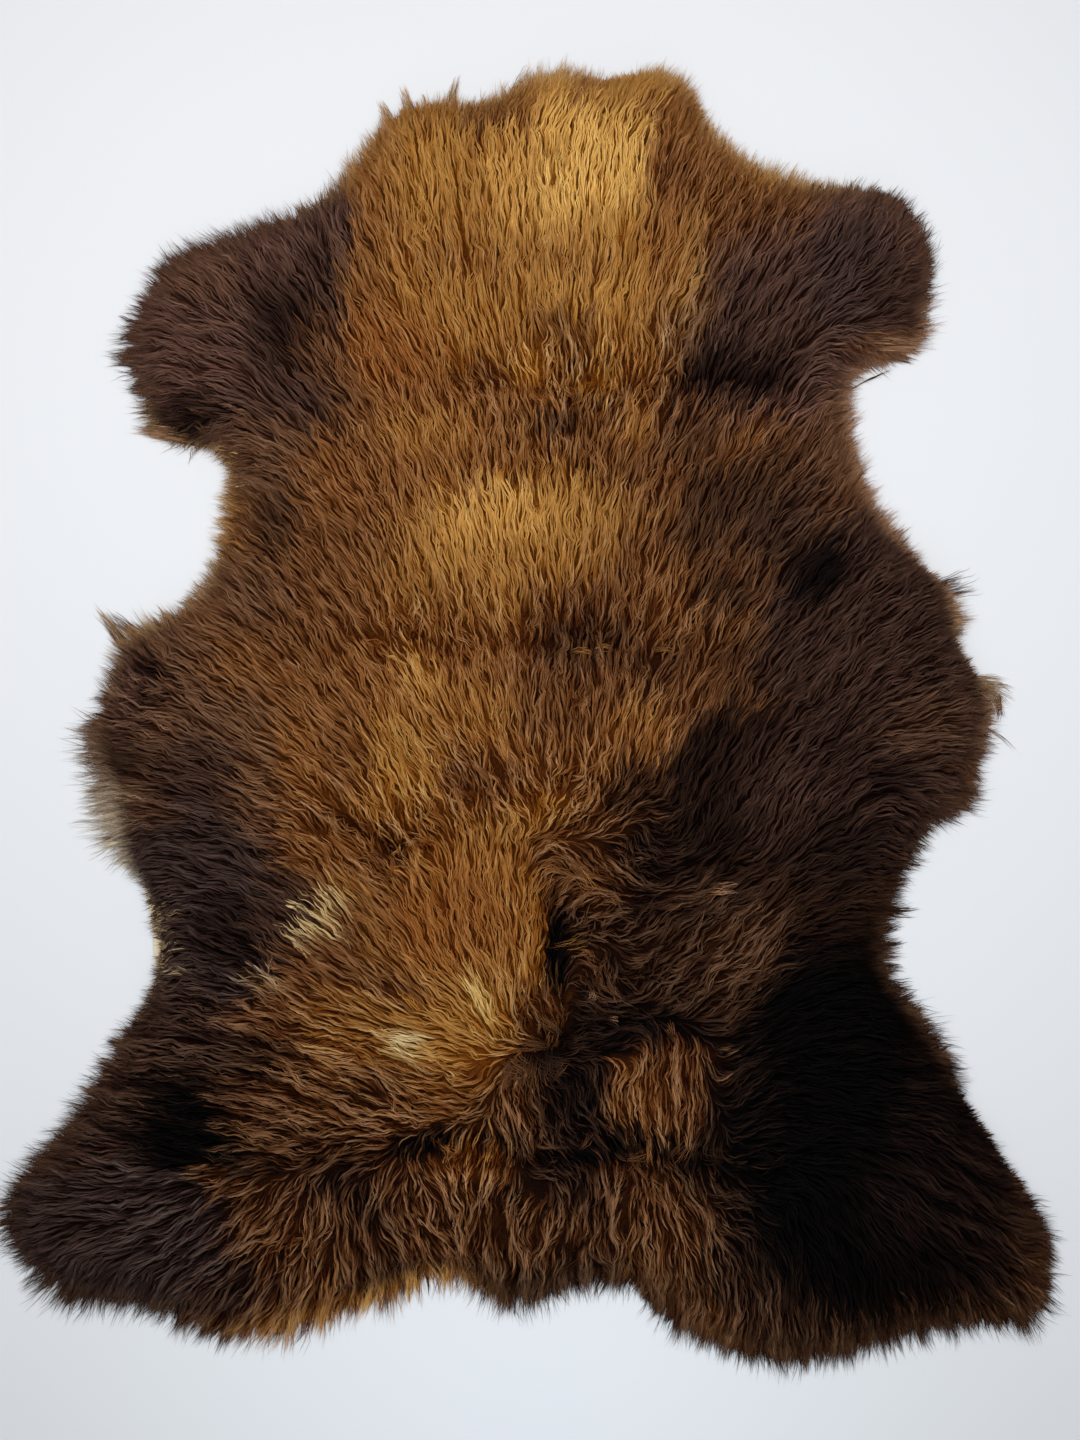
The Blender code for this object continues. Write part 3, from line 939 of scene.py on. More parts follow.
        (800, 1335, 100, 22, 0, 0.8, "dark brown", 0.8),
        (700, 1312, 40, 16, -30, 0.8, "umber", 0.8),
        (738, 1000, 26, 24, 0, 0.8, "dark brown", 0.7),
    ],
}

# The power by which a row of the next table loses its say with distance.
RIM_TONE_POWER = 3

# What tone the fringe turns to where it reaches out over the floor: partly the colour of its
# own fine tips, partly a painted glow where light shows through the thin hair. Columns:
# across, down, radius of its say in pixels and tone.
RIM_TONES = [
    (470, 80, 140, "straw"),
    (650, 70, 90, "straw"),
    (770, 165, 70, "straw"),
    (920, 240, 90, "amber"),
    (200, 250, 120, "amber"),
    (130, 350, 80, "amber"),
    (165, 445, 36, "fawn"),
    (222, 500, 50, "straw"),
    (150, 610, 70, "fawn"),
    (90, 720, 60, "bark"),
    (90, 770, 46, "bark"),
    (88, 806, 44, "milk"),
    (104, 862, 24, "milk"),
    (150, 950, 45, "olive"),
    (900, 350, 40, "tan"),
    (860, 430, 60, "tan"),
    (930, 560, 70, "tan"),
    (990, 690, 60, "tan"),
    (960, 630, 36, "fawn"),
    (980, 770, 60, "bark"),
    (900, 870, 60, "dark brown"),
    (900, 980, 60, "amber"),
    (1000, 1130, 120, "amber"),
    (1050, 1260, 90, "dark brown"),
    (900, 1340, 90, "dark brown"),
    (740, 1345, 80, "dark brown"),
    (680, 1325, 30, "amber"),
    (560, 1290, 80, "amber"),
    (420, 1285, 56, "gold brown"),
    (296, 1330, 56, "gold brown"),
    (220, 1340, 44, "dark brown"),
    (150, 1310, 80, "dark brown"),
    (30, 1220, 90, "dark brown"),
    (70, 1090, 70, "amber"),
]

# How far the noise shifts the patches' edges, in pixels. Columns: size across, shift and
# the number that it is drawn from.
PATCH_WARPS = [
    (60.0, 14.0, 11),
    (20.0, 9.0, 13),
    (8.0, 5.0, 15),
]

# Patches whose half width and half height add up to less than this are shifted less.
FULL_WARP = 110.0

# Where the wool parts or folds over itself, painted with shade along the line. Columns:
# across and down at one end and at the other, half width in pixels, how dark the line's
# painted shade is and how unevenly it runs.
PARTINGS = [
    (456, 392, 600, 394, 4, 0.5, 1.0),
    (600, 386, 718, 394, 4, 0.5, 1.0),
    (690, 390, 787, 397, 5, 0.6, 1.0),
    (500, 473, 620, 469, 5, 0.4, 1.0),
    (262, 668, 352, 640, 5, 0.32, 1.0),
    (352, 641, 418, 650, 4, 0.6, 0.7),
    (418, 651, 478, 655, 4, 0.7, 0.6),
    (496, 646, 552, 658, 4, 0.5, 0.6),
    (556, 628, 604, 642, 5, 0.5, 1.0),
    (618, 652, 668, 644, 4, 0.4, 1.0),
    (672, 646, 724, 634, 4, 0.22, 1.0),
    (334, 812, 384, 840, 4, 0.75, 1.0),
    (384, 846, 432, 842, 5, 0.8, 0.8),
    (432, 838, 486, 812, 4, 0.4, 0.8),
    (486, 846, 556, 872, 4, 0.4, 1.0),
    (556, 880, 640, 888, 4, 0.5, 1.0),
    (655, 866, 755, 868, 6, 0.6, 1.0),
    (557, 880, 546, 918, 4, 0.95, 0.2),
    (546, 918, 546, 956, 5, 0.95, 0.2),
    (546, 956, 560, 994, 5, 0.95, 0.2),
    (560, 994, 565, 1020, 4, 0.8, 0.3),
    (285, 1155, 455, 1148, 9, 0.7, 1.0),
    (455, 1150, 600, 1160, 10, 0.75, 1.0),
    (600, 1152, 740, 1168, 9, 0.85, 0.8),
    (528, 1046, 572, 1034, 9, 0.8, 0.6),
    (262, 300, 300, 372, 12, 0.35, 1.0),
    (184, 408, 202, 416, 6, 0.8, 0.4),
    (140, 692, 166, 704, 6, 0.7, 0.5),
    (138, 666, 164, 674, 8, 0.6, 0.5),
]

# Where the wool is ruffled or curly. Columns: across, down, radius and how much.
RUFFLES = [
    (500, 392, 40, 0.6),
    (580, 398, 46, 0.9),
    (650, 396, 40, 0.6),
    (560, 472, 40, 0.3),
    (410, 655, 30, 0.6),
    (470, 650, 40, 0.5),
    (560, 650, 50, 0.5),
    (660, 655, 50, 0.5),
    (480, 780, 40, 0.5),
    (410, 838, 46, 0.9),
    (330, 826, 40, 0.6),
    (500, 820, 40, 0.6),
    (560, 812, 50, 0.8),
    (620, 850, 50, 0.8),
    (590, 930, 50, 0.9),
    (620, 1000, 50, 0.8),
    (700, 960, 50, 0.6),
    (535, 1042, 34, 0.7),
    (552, 1100, 40, 0.7),
    (640, 1166, 36, 0.9),
    (540, 1165, 50, 0.7),
    (440, 1145, 50, 0.8),
    (330, 1160, 50, 0.6),
    (280, 1220, 70, 0.5),
    (440, 1220, 60, 0.5),
    (580, 1220, 70, 0.45),
    (152, 700, 30, 0.8),
    (270, 985, 26, 0.7),
    (740, 1180, 60, 0.6),
]

# Where the wool is soft and even. Columns: across, down, radius and how much.
SOFT_WOOL = [
    (70, 1215, 110, 0.85),
    (130, 1270, 70, 0.7),
    (480, 960, 90, 0.6),
    (450, 1040, 60, 0.6),
    (655, 1098, 52, 0.6),
    (220, 330, 110, 0.9),
    (860, 270, 100, 0.8),
    (590, 160, 90, 0.8),
    (690, 300, 50, 0.5),
    (60, 1110, 80, 0.6),
    (850, 1180, 120, 0.6),
    (880, 1300, 130, 0.7),
    (1010, 1240, 80, 0.7),
    (740, 1320, 60, 0.5),
]

# Tufts and curls that differ from the wool round them. Columns: across and down at the
# root, heading in degrees as above, how far it turns towards the tip, length and spread in
# millimetres, how far it fans out in degrees, strands, their width in millimetres, how far
# it rises over the wool, and its tones at the root and at the tip.
TUFTS = {
    "right armpit": [
        (862, 345, 4, -8, 54, 6, -1.5, 80, 0.6, 0.4, "bark", "tan"),
        (864, 352, -3, -6, 42, 3.5, -2, 50, 0.6, 0.3, "bark", "bark"),
        (850, 389, 33, -14, 38, 0.3, 0.2, 5, 0.6, 1.2, "dark brown", "umber"),
    ],
    "left armpit": [
        (196, 439, 170, 0, 52, 4.5, -1.5, 70, 0.55, 0.4, "umber", "tan"),
        (190, 434, 165, 6, 38, 3, -2, 34, 0.55, 0.8, "umber", "tan"),
        (206, 417, 151, 8, 19, 2.0, -4, 14, 0.5, 1.4, "dark brown", "bark"),
        (206, 438, 100, 60, 14, 2, 5, 14, 0.6, 0.6, "charcoal", "bark"),
        (190, 446, 258, 16, 16, 0.5, 2, 2, 0.4, 0.3, "bark", "bark"),
    ],
    "left flank": [
        (122, 645, 124, 6, 40, 5, -4, 40, 0.42, 0.3, "bark", "fawn"),
        (146, 640, 152, -8, 38, 5, -4, 40, 0.42, 0.5, "umber", "bark"),
        (168, 690, 184, 12, 18, 2.4, -3, 16, 0.6, 1.2, "bark", "bark"),
        (160, 702, 140, 60, 16, 3, 6, 20, 0.7, 0.8, "charcoal", "dark brown"),
        (128, 772, 150, 40, 16, 1.6, 4, 14, 0.7, 1.0, "night", "charcoal"),
        (124, 798, 178, 6, 36, 5, 4, 40, 0.42, 0.4, "bark", "milk"),
        (126, 826, 186, 4, 40, 8, 5, 44, 0.40, 0.4, "bark", "milk"),
        (126, 854, 208, 10, 22, 5, 6, 18, 0.36, 0.3, "bark", "milk"),
    ],
    "right flank": [
        (934, 592, 14, 6, 34, 7, 3, 50, 0.45, 0.5, "charcoal", "bark"),
        (968, 686, 10, -34, 38, 6, 6, 70, 0.36, 0.4, "bark", "fawn"),
        (984, 690, 2, -60, 24, 5, 14, 50, 0.34, 0.4, "bark", "fawn"),
        (1001, 698, -78, -10, 18, 3.5, -9, 30, 0.4, 0.3, "umber", "dark brown"),
        (980, 722, -26, -18, 44, 1.5, 3, 7, 0.32, 0.2, "olive", "olive"),
        (926, 798, -8, 2, 44, 6, -1, 70, 0.55, 0.4, "charcoal", "bark"),
    ],
    "right waist": [
        (872, 910, -6, 6, 35, 5, -5, 56, 0.6, 0.5, "night", "dark brown"),
        (860, 936, 10, 6, 34, 3.5, -3, 46, 0.6, 0.5, "night", "dark brown"),
        (864, 950, 6, 4, 32, 4, -3, 46, 0.6, 0.5, "night", "dark brown"),
        (866, 968, -4, 4, 31, 4, -3, 46, 0.6, 0.5, "night", "dark brown"),
        (876, 988, -4, 6, 32, 5, -4, 46, 0.6, 0.5, "night", "dark brown"),
        (906, 842, -28, 8, 17, 1.0, 4, 4, 0.34, 0.3, "olive", "olive"),
        (898, 862, -20, 6, 15, 1.0, 4, 3, 0.34, 0.3, "olive", "olive"),
    ],
    "dark side of the parting": [
        (566, 858, -48, -8, 36, 5, 2, 8, 0.45, 1.6, "umber", "gold brown"),
        (552, 944, 8, 18, 34, 4, 4, 7, 0.45, 1.6, "umber", "gold brown"),
        (686, 896, 10, 6, 20, 3.5, 2, 18, 0.6, 1.6, "dark brown", "bark"),
        (708, 888, 4, 6, 18, 4.5, 2, 22, 0.6, 1.8, "umber", "tan"),
        (728, 872, 96, -70, 36, 2.0, 4, 9, 0.4, 1.6, "night", "dark brown"),
        (588, 998, 20, 60, 11, 2.4, 14, 10, 0.4, 1.8, "bark", "tan"),
        (608, 1016, 10, -30, 9, 1.4, 10, 6, 0.4, 1.8, "bark", "tan"),
        (668, 1034, 60, 70, 15, 1.5, 8, 14, 0.6, 2.0, "dark brown", "umber"),
        (714, 1045, 6, 10, 14, 1.2, 4, 10, 0.6, 1.8, "dark brown", "bark"),
        (560, 1032, 128, 16, 24, 3, 6, 30, 0.6, 1.0, "dark brown", "umber"),
        (548, 1044, 176, -10, 24, 3, 8, 26, 0.6, 1.0, "dark brown", "umber"),
        (566, 1040, 8, 20, 22, 3, 8, 26, 0.6, 1.0, "night", "dark brown"),
        (552, 1050, 262, 20, 22, 4, 10, 30, 0.6, 1.0, "night", "dark brown"),
        (514, 1058, -124, 14, 22, 4, 4, 22, 0.6, 1.6, "dark brown", "umber"),
        (532, 1060, -110, 20, 24, 9, 12, 70, 0.7, 0.8, "night", "umber"),
        (540, 1056, -40, 30, 22, 8, 14, 50, 0.7, 0.8, "night", "dark brown"),
        (530, 1068, 170, -20, 20, 6, 14, 40, 0.7, 0.8, "dark brown", "umber"),
        (552, 1078, 52, 0, 20, 1.2, 3, 6, 0.5, 1.6, "dark brown", "umber"),
    ],
    "lower curls": [
        (616, 1152, -40, 74, 30, 3.0, 5, 16, 0.5, 1.4, "dark brown", "umber"),
        (694, 1130, -118, -14, 32, 5, 5, 18, 0.5, 1.4, "dark brown", "umber"),
        (650, 1132, -106, 30, 24, 2, 4, 14, 0.6, 1.6, "umber", "brown"),
        (578, 1146, 30, 40, 18, 1.5, 5, 10, 0.6, 1.6, "dark brown", "umber"),
        (728, 1150, 200, -50, 22, 4, 6, 12, 0.5, 1.2, "night", "dark brown"),
    ],
    "crease": [
        (572, 654, 34, -60, 17, 2, 8, 12, 0.6, 1.8, "umber", "gold brown"),
        (612, 650, 140, 60, 16, 2, 8, 10, 0.6, 1.8, "umber", "gold brown"),
        (652, 652, 30, -50, 17, 2, 8, 10, 0.6, 1.8, "umber", "brown"),
        (576, 404, 50, 60, 16, 3, 8, 14, 0.6, 1.8, "umber", "gold brown"),
        (600, 408, 120, -60, 16, 3, 8, 12, 0.6, 1.8, "umber", "gold brown"),
    ],
    "neck rim": [
        (392, 122, 122, -6, 24, 4, -2, 26, 0.4, 0.3, "brown", "straw"),
        (410, 112, 104, 8, 24, 4, -2, 26, 0.4, 0.3, "brown", "straw"),
        (450, 104, 88, -20, 26, 4, -2, 26, 0.4, 0.3, "umber", "straw"),
        (512, 96, 70, -20, 28, 5, -1, 30, 0.4, 0.3, "umber", "straw"),
        (560, 84, 70, -20, 24, 5, -2, 30, 0.4, 0.3, "gold brown", "straw"),
        (655, 86, 62, -16, 24, 5, -2, 30, 0.4, 0.3, "gold brown", "straw"),
    ],
    "hind rim": [
        (238, 1312, 240, 6, 40, 4, -2, 36, 0.5, 0.4, "dark brown", "dark brown"),
    ],
}

# The tufts' strands, in rows as the wool's are, with painted shade darkest at their roots.
TUFT = {
    "shares": np.array([0.0, 0.18, 0.34, 0.5, 0.66, 0.83, 1.0]),
    "widths": np.array([0.7, 1.0, 1.0, 0.95, 0.85, 0.6, 0.0]),
    "light": np.array([0.30, 0.55, 0.80, 0.95, 1.0, 1.05, 1.08]),
    "roll": 24,
}

# What shares of the tuft's length its strands have, how deep their roots lie, how uneven
# the ground is under them and how far they sink in. The arc over which a tuft rises, as
# shares of a half turn: its start and what is added up to the tip.
TUFT_LONGER = (0.5, 1.1)
TUFT_DEPTH = 5.0
TUFT_UNEVENNESS = 1.0
TUFT_SINK = 1.5
TUFT_ARC = {"start": 0.15, "added": 0.7}

# How long and how high a tuft's waves are, how far they differ from strand to strand, and
# by how many degrees its strands turn apart.
TUFT_WAVE = (9.0, 0.7)
TUFT_PHASE = 0.7
TUFT_TURN = 0.8

# How a tuft's strands differ in light, how light they are, and the power by which the
# root's tone passes into the tip's.
TUFT_CONTRAST = 0.34
TUFT_LEVEL = 0.66
TUFT_TONE_POWER = 1.3

# The materials. The span of a noise that counts, and what it is turned into: how light the
# wool, the undercoat and the leather are over it, and how rough. Then how much finer the
# wool's streaks are along and across a strand, and how little the wool shines.
NOISE_SPAN = (0.3, 0.7)
WOOL_SHADES = (0.62, 1.32)
WOOL_ROUGHNESS = (0.62, 0.48)
UNDERCOAT_SHADES = (0.4, 1.4)
LEATHER_SHADES = (0.75, 1.2)
LEATHER_ROUGHNESS = (0.75, 0.95)
STREAK_SCALE = (1.3, 4.5)
SHINE = 0.03

# The tones of the leather and of the floor. The leather's upper edge is stained at the right
# waist: between which places across the skin that begins, and between which heights, both
# in metres.
LEATHER_TONES = ((0.36, 0.26, 0.16, 1), (0.66, 0.55, 0.40, 1))
FLOOR_TONES = ((0.561, 0.571, 0.592, 1), (0.575, 0.585, 0.606, 1))
STAIN_TONE = (0.045, 0.028, 0.018, 1)
STAIN_ACROSS = (0.10, 0.20)
STAIN_UP = (0.0003, 0.0010)

# The studio, in metres. Columns of the lights: name, place, size, power and colour.
LIGHTS = [
    ("key_light", (-0.45, 0.42, 1.3), 0.9, 13.7, (1.0, 0.99, 0.98)),
    ("fill_light", (0.48, 0.34, 1.3), 0.9, 11.6, (1.0, 1.0, 1.0)),
    ("foot_light", (0.0, -0.66, 0.5), 0.3, 1.2, (0.74, 0.90, 1.0)),
]
WORLD_COLOUR = (0.96, 0.98, 1, 1)
WORLD_STRENGTH = 0.45
FLOOR_HALF = 20.0
FLOOR_DROP = 0.0004

# The camera's lens and sensor in millimetres, and how far over the picture's own height it
# stands, in metres.
CAMERA_LENS = 50
CAMERA_SENSOR = 36
CAMERA_RISE = 0.012


def from_picture(points):
    """Places in the picture, in pixels, as millimetres on the skin."""
    points = np.asarray(points, float)
    return (points - ORIGIN_PIXEL) * [PIXEL, -PIXEL]


def to_picture(points):
    """Millimetres on the skin as places in the picture, in pixels."""
    return points / [PIXEL, -PIXEL] + ORIGIN_PIXEL


def unit(vectors):
    """The vectors of the last axis scaled to a length of one."""
    return vectors / np.maximum(np.linalg.norm(vectors, axis=-1, keepdims=True), TINY)


def smooth(values):
    """An even start and end between 0 and 1."""
    held = np.clip(values, 0, 1)
    return held * held * (3 - 2 * held)


def between(ends, share):
    """The value this share of the way from the first of two named ends to the second."""
    first, second = ends.values()
    return first + (second - first) * share


def added(amounts, share):
    """The first of two named amounts with this share of the second one on top."""
    first, second = amounts.values()
    return first + second * share


def linear(tone):
    """An sRGB tone from 0 to 255 as the linear tint of wool that looks like it."""
    return TONE_GAIN * (np.asarray(tone, float) / 255) ** TONE_POWER


def highlight_powers(yellow):
    """The powers of red, green and blue by which painted sheen and shade tint wool this yellow.
    """
    return HIGHLIGHT_POWERS["dark"] * (1 - yellow) + HIGHLIGHT_POWERS["gold"] * yellow


def grid_points(pitch):
    """The points of a grid over the skin, one row after another."""
    across, along = (np.arange(-half, half + pitch / 2, pitch) for half in GRID_HALF)
    x, y = np.meshgrid(across, along)
    return np.column_stack([x.ravel(), y.ravel()])


def on_grid(values, pitch):
    """A list of values, one to a grid point, as rows and columns."""
    columns, rows = (len(np.arange(-half, half + pitch / 2, pitch)) for half in GRID_HALF)
    values = np.asarray(values, float)
    return values.reshape(rows, columns, *values.shape[1:])


def sample(field, points):
    """The field's values at the points, from the four grid points round each."""
    count = np.array([field.shape[1], field.shape[0]])
    place = (points + GRID_HALF) / (GRID_HALF * 2) * (count - 1)
    cell = np.clip(np.floor(place).astype(int), 0, count - 2)
    share = np.clip(place - cell, 0, 1)
    i, j = cell[..., 0], cell[..., 1]
    u, v = share[..., 0], share[..., 1]
    if field.ndim == 3:
        u, v = u[..., None], v[..., None]
    low = field[j, i] * (1 - u) + field[j, i + 1] * u
    high = field[j + 1, i] * (1 - u) + field[j + 1, i + 1] * u
    return low * (1 - v) + high * v


def soft_noise(points, size, part):
    """Soft noise from about -1 to 1 at each point, the same each time for the same part."""
    chance = np.random.default_rng(part)
    angle = chance.uniform(0, 2 * math.pi, (NOISE_CELLS, NOISE_CELLS))
    slopes = np.stack([np.cos(angle), np.sin(angle)], axis=-1)
    place = points / size
    cell = np.floor(place).astype(int)
    offset = place - cell
    fade = offset**3 * (offset * (offset * 6 - 15) + 10)
    corner = {}
    for i, j in ((0, 0), (1, 0), (0, 1), (1, 1)):
        slope = slopes[(cell[..., 1] + j) % NOISE_CELLS, (cell[..., 0] + i) % NOISE_CELLS]
        corner[i, j] = ((offset - [i, j]) * slope).sum(axis=-1)
    low = corner[0, 0] + (corner[1, 0] - corner[0, 0]) * fade[..., 0]
    high = corner[0, 1] + (corner[1, 1] - corner[0, 1]) * fade[..., 0]
    return NOISE_GAIN * (low + (high - low) * fade[..., 1])


def top_outline(node, level):
    """The outline of the node's flat face at that height, as one closed ring in order."""
    mesh = node.data
    points = np.array([v.co for v in mesh.vertices]) / MM
    keys = {}
    number = [keys.setdefault(tuple(np.round(p, 2)), len(keys)) for p in points]
    spots = np.array(list(keys))
    uses = {}
    for polygon in mesh.polygons:
        corners = [number[v] for v in polygon.vertices]
        if max(abs(spots[c][2] - level) for c in corners) > LEVEL_SLACK:
            continue
        for a, b in zip(corners, corners[1:] + corners[:1]):
            side = (min(a, b), max(a, b))
            uses.setdefault(side, []).append((a, b))
    following = dict(sides[0] for sides in uses.values() if len(sides) == 1)
    start = next(iter(following))
    ring = [start]
    while following[ring[-1]] != start:
        ring.append(following[ring[-1]])
    ring = spots[ring][:, :2]
    x, y = ring.T
    if (x * np.roll(y, -1) - y * np.roll(x, -1)).sum() < 0:
        ring = ring[::-1]
    return ring


def signed_distance(points, ring):
    """How far inside the ring each point lies, negative outside it."""
    start, end = ring, np.roll(ring, -1, axis=0)
    span = end - start
    result = []
    for part in np.array_split(points, max(1, len(points) // BATCH)):
        offset = part[:, None] - start[None]
        share = np.clip((offset * span).sum(2) / (span**2).sum(1), 0, 1)
        away = np.linalg.norm(offset - span * share[:, :, None], axis=2).min(axis=1)
        x, y = part[:, None, 0], part[:, None, 1]
        crosses = (start[:, 1] > y) != (end[:, 1] > y)
        rise = np.where(crosses, span[:, 1], 1.0)
        at = start[:, 0] + span[:, 0] * (y - start[:, 1]) / rise
        inside = (crosses & (x < at)).sum(axis=1) % 2 == 1
        result.append(np.where(inside, away, -away))
    return np.concatenate(result)


def comb_fields(places):
    """The comb's direction and the strands' length at each place of the picture."""
    rows = np.array([row for part in COMB.values() for row in part], float)
    angle = np.radians(rows[:, 2])
    values = np.column_stack([np.cos(angle), np.sin(angle), rows[:, 3]])
    result = []
    for part in np.array_split(places, COMB_BATCHES):
        away = ((part[:, None] - rows[None, :, :2]) ** 2).sum(2)
        say = (away + COMB_REACH**2) ** (-COMB_POWER / 2)
        result.append(say @ values / say.sum(1, keepdims=True))
    result = np.concatenate(result)
    return unit(result[:, :2]), result[:, 2]


def patch_tones(places):
    """The wool's colour at each place of the picture, as linear light."""
    warped = places.copy()
    for size, shift, part in PATCH_WARPS:
        warped[:, 0] += shift * soft_noise(places, size, part)
        warped[:, 1] += shift * soft_noise(places, size, part + 1)
    colour = np.tile(np.array(TONES[GROUND_TONE], float), (len(places), 1))
    for rows in PATCHES.values():
        for x, y, half_width, half_height, turn, softness, tone, strength in rows:
            angle = math.radians(turn)
            shifted = min(1, (half_width + half_height) / FULL_WARP)
            offset = places + (warped - places) * shifted - [x, y]
            across = offset @ [math.cos(angle), -math.sin(angle)] / half_width
            along = offset @ [math.sin(angle), math.cos(angle)] / half_height
            radius = np.hypot(across, along)
            cover = strength * smooth((1 + softness / 2 - radius) / softness)
            colour += (np.array(TONES[tone], float) - colour) * cover[:, None]
    return linear(colour)


def rim_tones(places):
    """The fringe's tone at each place of the picture, with its painted glow, as linear light."""
    total = np.zeros((len(places), 3))
    weight = np.full((len(places), 1), TINY)
    for x, y, radius, tone in RIM_TONES:
        away = np.hypot(places[:, 0] - x, places[:, 1] - y) / radius
        say = ((1 + away**2) ** -RIM_TONE_POWER)[:, None]
        total += say * linear(TONES[tone])
        weight += say
    return total / weight


def wobble(places):
    """The small shift of each place of the picture that makes straight lines uneven."""
    shift = [soft_noise(places, PARTING_NOISE, NOISE_PARTS[name])
             for name in ("parting across", "parting down")]
    return PARTING_WOBBLE * np.column_stack(shift)


def parting_shade(places):
    """How dark the partings' painted shade is at each place of the picture."""
    shade = np.zeros(len(places))
    shift = wobble(places)
    breaks = soft_noise(places, PARTING_BREAK_SIZE, NOISE_PARTS["breaks"])
    broken = smooth(added(PARTING_BREAKS, breaks))
    for x0, y0, x1, y1, half_width, darkness, uneven in PARTINGS:
        start, span = np.array([x0, y0], float), np.array([x1 - x0, y1 - y0], float)
        offset = places + shift * uneven - start
        share = np.clip(offset @ span / (span @ span), 0, 1)
        away = np.linalg.norm(offset - share[:, None] * span, axis=1)
        shade = np.maximum(shade, darkness * broken * np.exp(-((away / half_width) ** 2)))
    return shade


def share_before_parting(roots, tips):
    """The share of each way from root to tip that lies before a parting it crosses."""
    first, last = to_picture(roots), to_picture(tips)
    first_shift, last_shift = wobble(first), wobble(last)
    share = np.ones(len(roots))
    for x0, y0, x1, y1, _, darkness, uneven in PARTINGS:
        if darkness < FIRM_PARTING:
            continue
        start = first + first_shift * uneven
        way = last + last_shift * uneven - start
        line = np.array([x1 - x0, y1 - y0], float)
        offset = np.array([x0, y0], float) - start
        turning = way[:, 0] * line[1] - way[:, 1] * line[0]
        turning = np.where(np.abs(turning) < LEAST_TURNING, LEAST_TURNING, turning)
        at = (offset[:, 0] * line[1] - offset[:, 1] * line[0]) / turning
        place = (offset[:, 0] * way[:, 1] - offset[:, 1] * way[:, 0]) / turning
        crosses = (at > NEAR_ROOT) & (at < 1) & (place > 0) & (place < 1)
        share = np.where(crosses, np.minimum(share, at), share)
    return share


def spot_amount(table, places):
    """How far each place of the picture is inside the spots of the table."""
    amount = np.zeros(len(places))
    for x, y, radius, most in table:
        away = np.hypot(places[:, 0] - x, places[:, 1] - y) / radius
        amount = np.maximum(amount, most * np.exp(-(away**2)))
    return amount


def read_heights(node, points, inside):
    """The height of the node's top over each point that lies inside."""
    mesh = node.data
    corners = [v.co for v in mesh.vertices]
    tree = BVHTree.FromPolygons(corners, [tuple(p.vertices) for p in mesh.polygons])
    heights = np.zeros(len(points))
    down = Vector((0, 0, -1))
    for i in np.flatnonzero(inside):
        hit = tree.ray_cast(Vector((points[i, 0] * MM, points[i, 1] * MM, 1)), down)[0]
        heights[i] = hit.z / MM if hit else 0.0
    return heights


def streaks(heading, room, pitch, size, reach, part):
    """Noise drawn out along the heading, and how it slopes across it, over the skin."""
    every = grid_points(pitch)
    near = sample(room, every) > -GRID_REACH
    points = every[near]
    steps = max(1, round(reach / STREAK_STEP))
    total = soft_noise(points, size, part)
    for sense in (1, -1):
        spot = points
        for step in range(1, steps + 1):
            spot = spot + unit(sample(heading, spot)) * (STREAK_STEP * sense)
            weight = math.cos(math.pi / 2 * step / (steps + 1)) ** 2
            total = total + weight * soft_noise(spot, size, part)
    drawn = np.zeros(len(every))
    drawn[near] = total / total.std()
    drawn = on_grid(drawn, pitch)
    rise_y, rise_x = np.gradient(drawn, pitch)
    along = on_grid(unit(sample(heading, every)), pitch)
    slope = rise_x * along[..., 1] - rise_y * along[..., 0]
    return drawn, slope


def make_coarse_fields(hide_node, fleece_node):
    """What varies slowly over the skin, each as a grid of values, and the wool's foot."""
    points = grid_points(GRID_PITCH)
    places = to_picture(points)
    hide_ring = top_outline(hide_node, HIDE_TOP)
    foot_ring = top_outline(fleece_node, FOOT_LEVEL)
    in_hide = signed_distance(points, hide_ring)
    in_foot = signed_distance(points, foot_ring)
    solid = read_heights(fleece_node, points, in_foot > WALL_INSIDE_FOOT)
    past_wall = np.minimum(in_foot, WALL_INSIDE_FOOT) - WALL_INSIDE_FOOT
    outer = WALL_TOP * np.exp(past_wall / OUTER_FALL)
    top = np.where(in_foot > WALL_INSIDE_FOOT, np.maximum(solid, WALL_TOP), outer)
    heading, length = comb_fields(places)
    fields = {
        "in hide": in_hide,
        "in foot": in_foot,
        "top": np.maximum(top, LEAST_HEIGHT),
        "ground": np.where(in_hide > 0, FOOT_LEVEL, LEAST_HEIGHT),
        "comb": heading,
        "length": length,
        "ruffle": spot_amount(RUFFLES, places),
        "soft": spot_amount(SOFT_WOOL, places),
        "rim tone": rim_tones(places),
    }
    return {name: on_grid(values, GRID_PITCH) for name, values in fields.items()}, foot_ring


def swayed(fields, points, hind, ruffle):
    """The heading of the wool: the comb's direction with its sways and crimps."""
    comb = unit(sample(fields["comb"], points))
    in_locks = LOCK_SWAY["calm"] + LOCK_SWAY["hind"] * hind + LOCK_SWAY["ruffled"] * ruffle
    sway = SWAY * soft_noise(points, SWAY_SIZE, NOISE_PARTS["sway"])
    sway += in_locks * soft_noise(points, LOCK_SWAY_SIZE, NOISE_PARTS["lock sway"])
    angle = np.arctan2(comb[:, 1], comb[:, 0]) + np.radians(sway)
    across = on_grid(np.column_stack([-np.sin(angle), np.cos(angle)]), FINE_PITCH)
    waves, _ = streaks(across, fields["in hide"], FINE_PITCH, CRIMP_SIZE, CRIMP_REACH,
                       NOISE_PARTS["crimps"])
    in_crimps = CRIMP["calm"] + CRIMP["hind"] * hind + CRIMP["ruffled"] * ruffle
    angle += np.radians(in_crimps * waves.ravel())
    return on_grid(np.column_stack([np.cos(angle), np.sin(angle)]), FINE_PITCH)


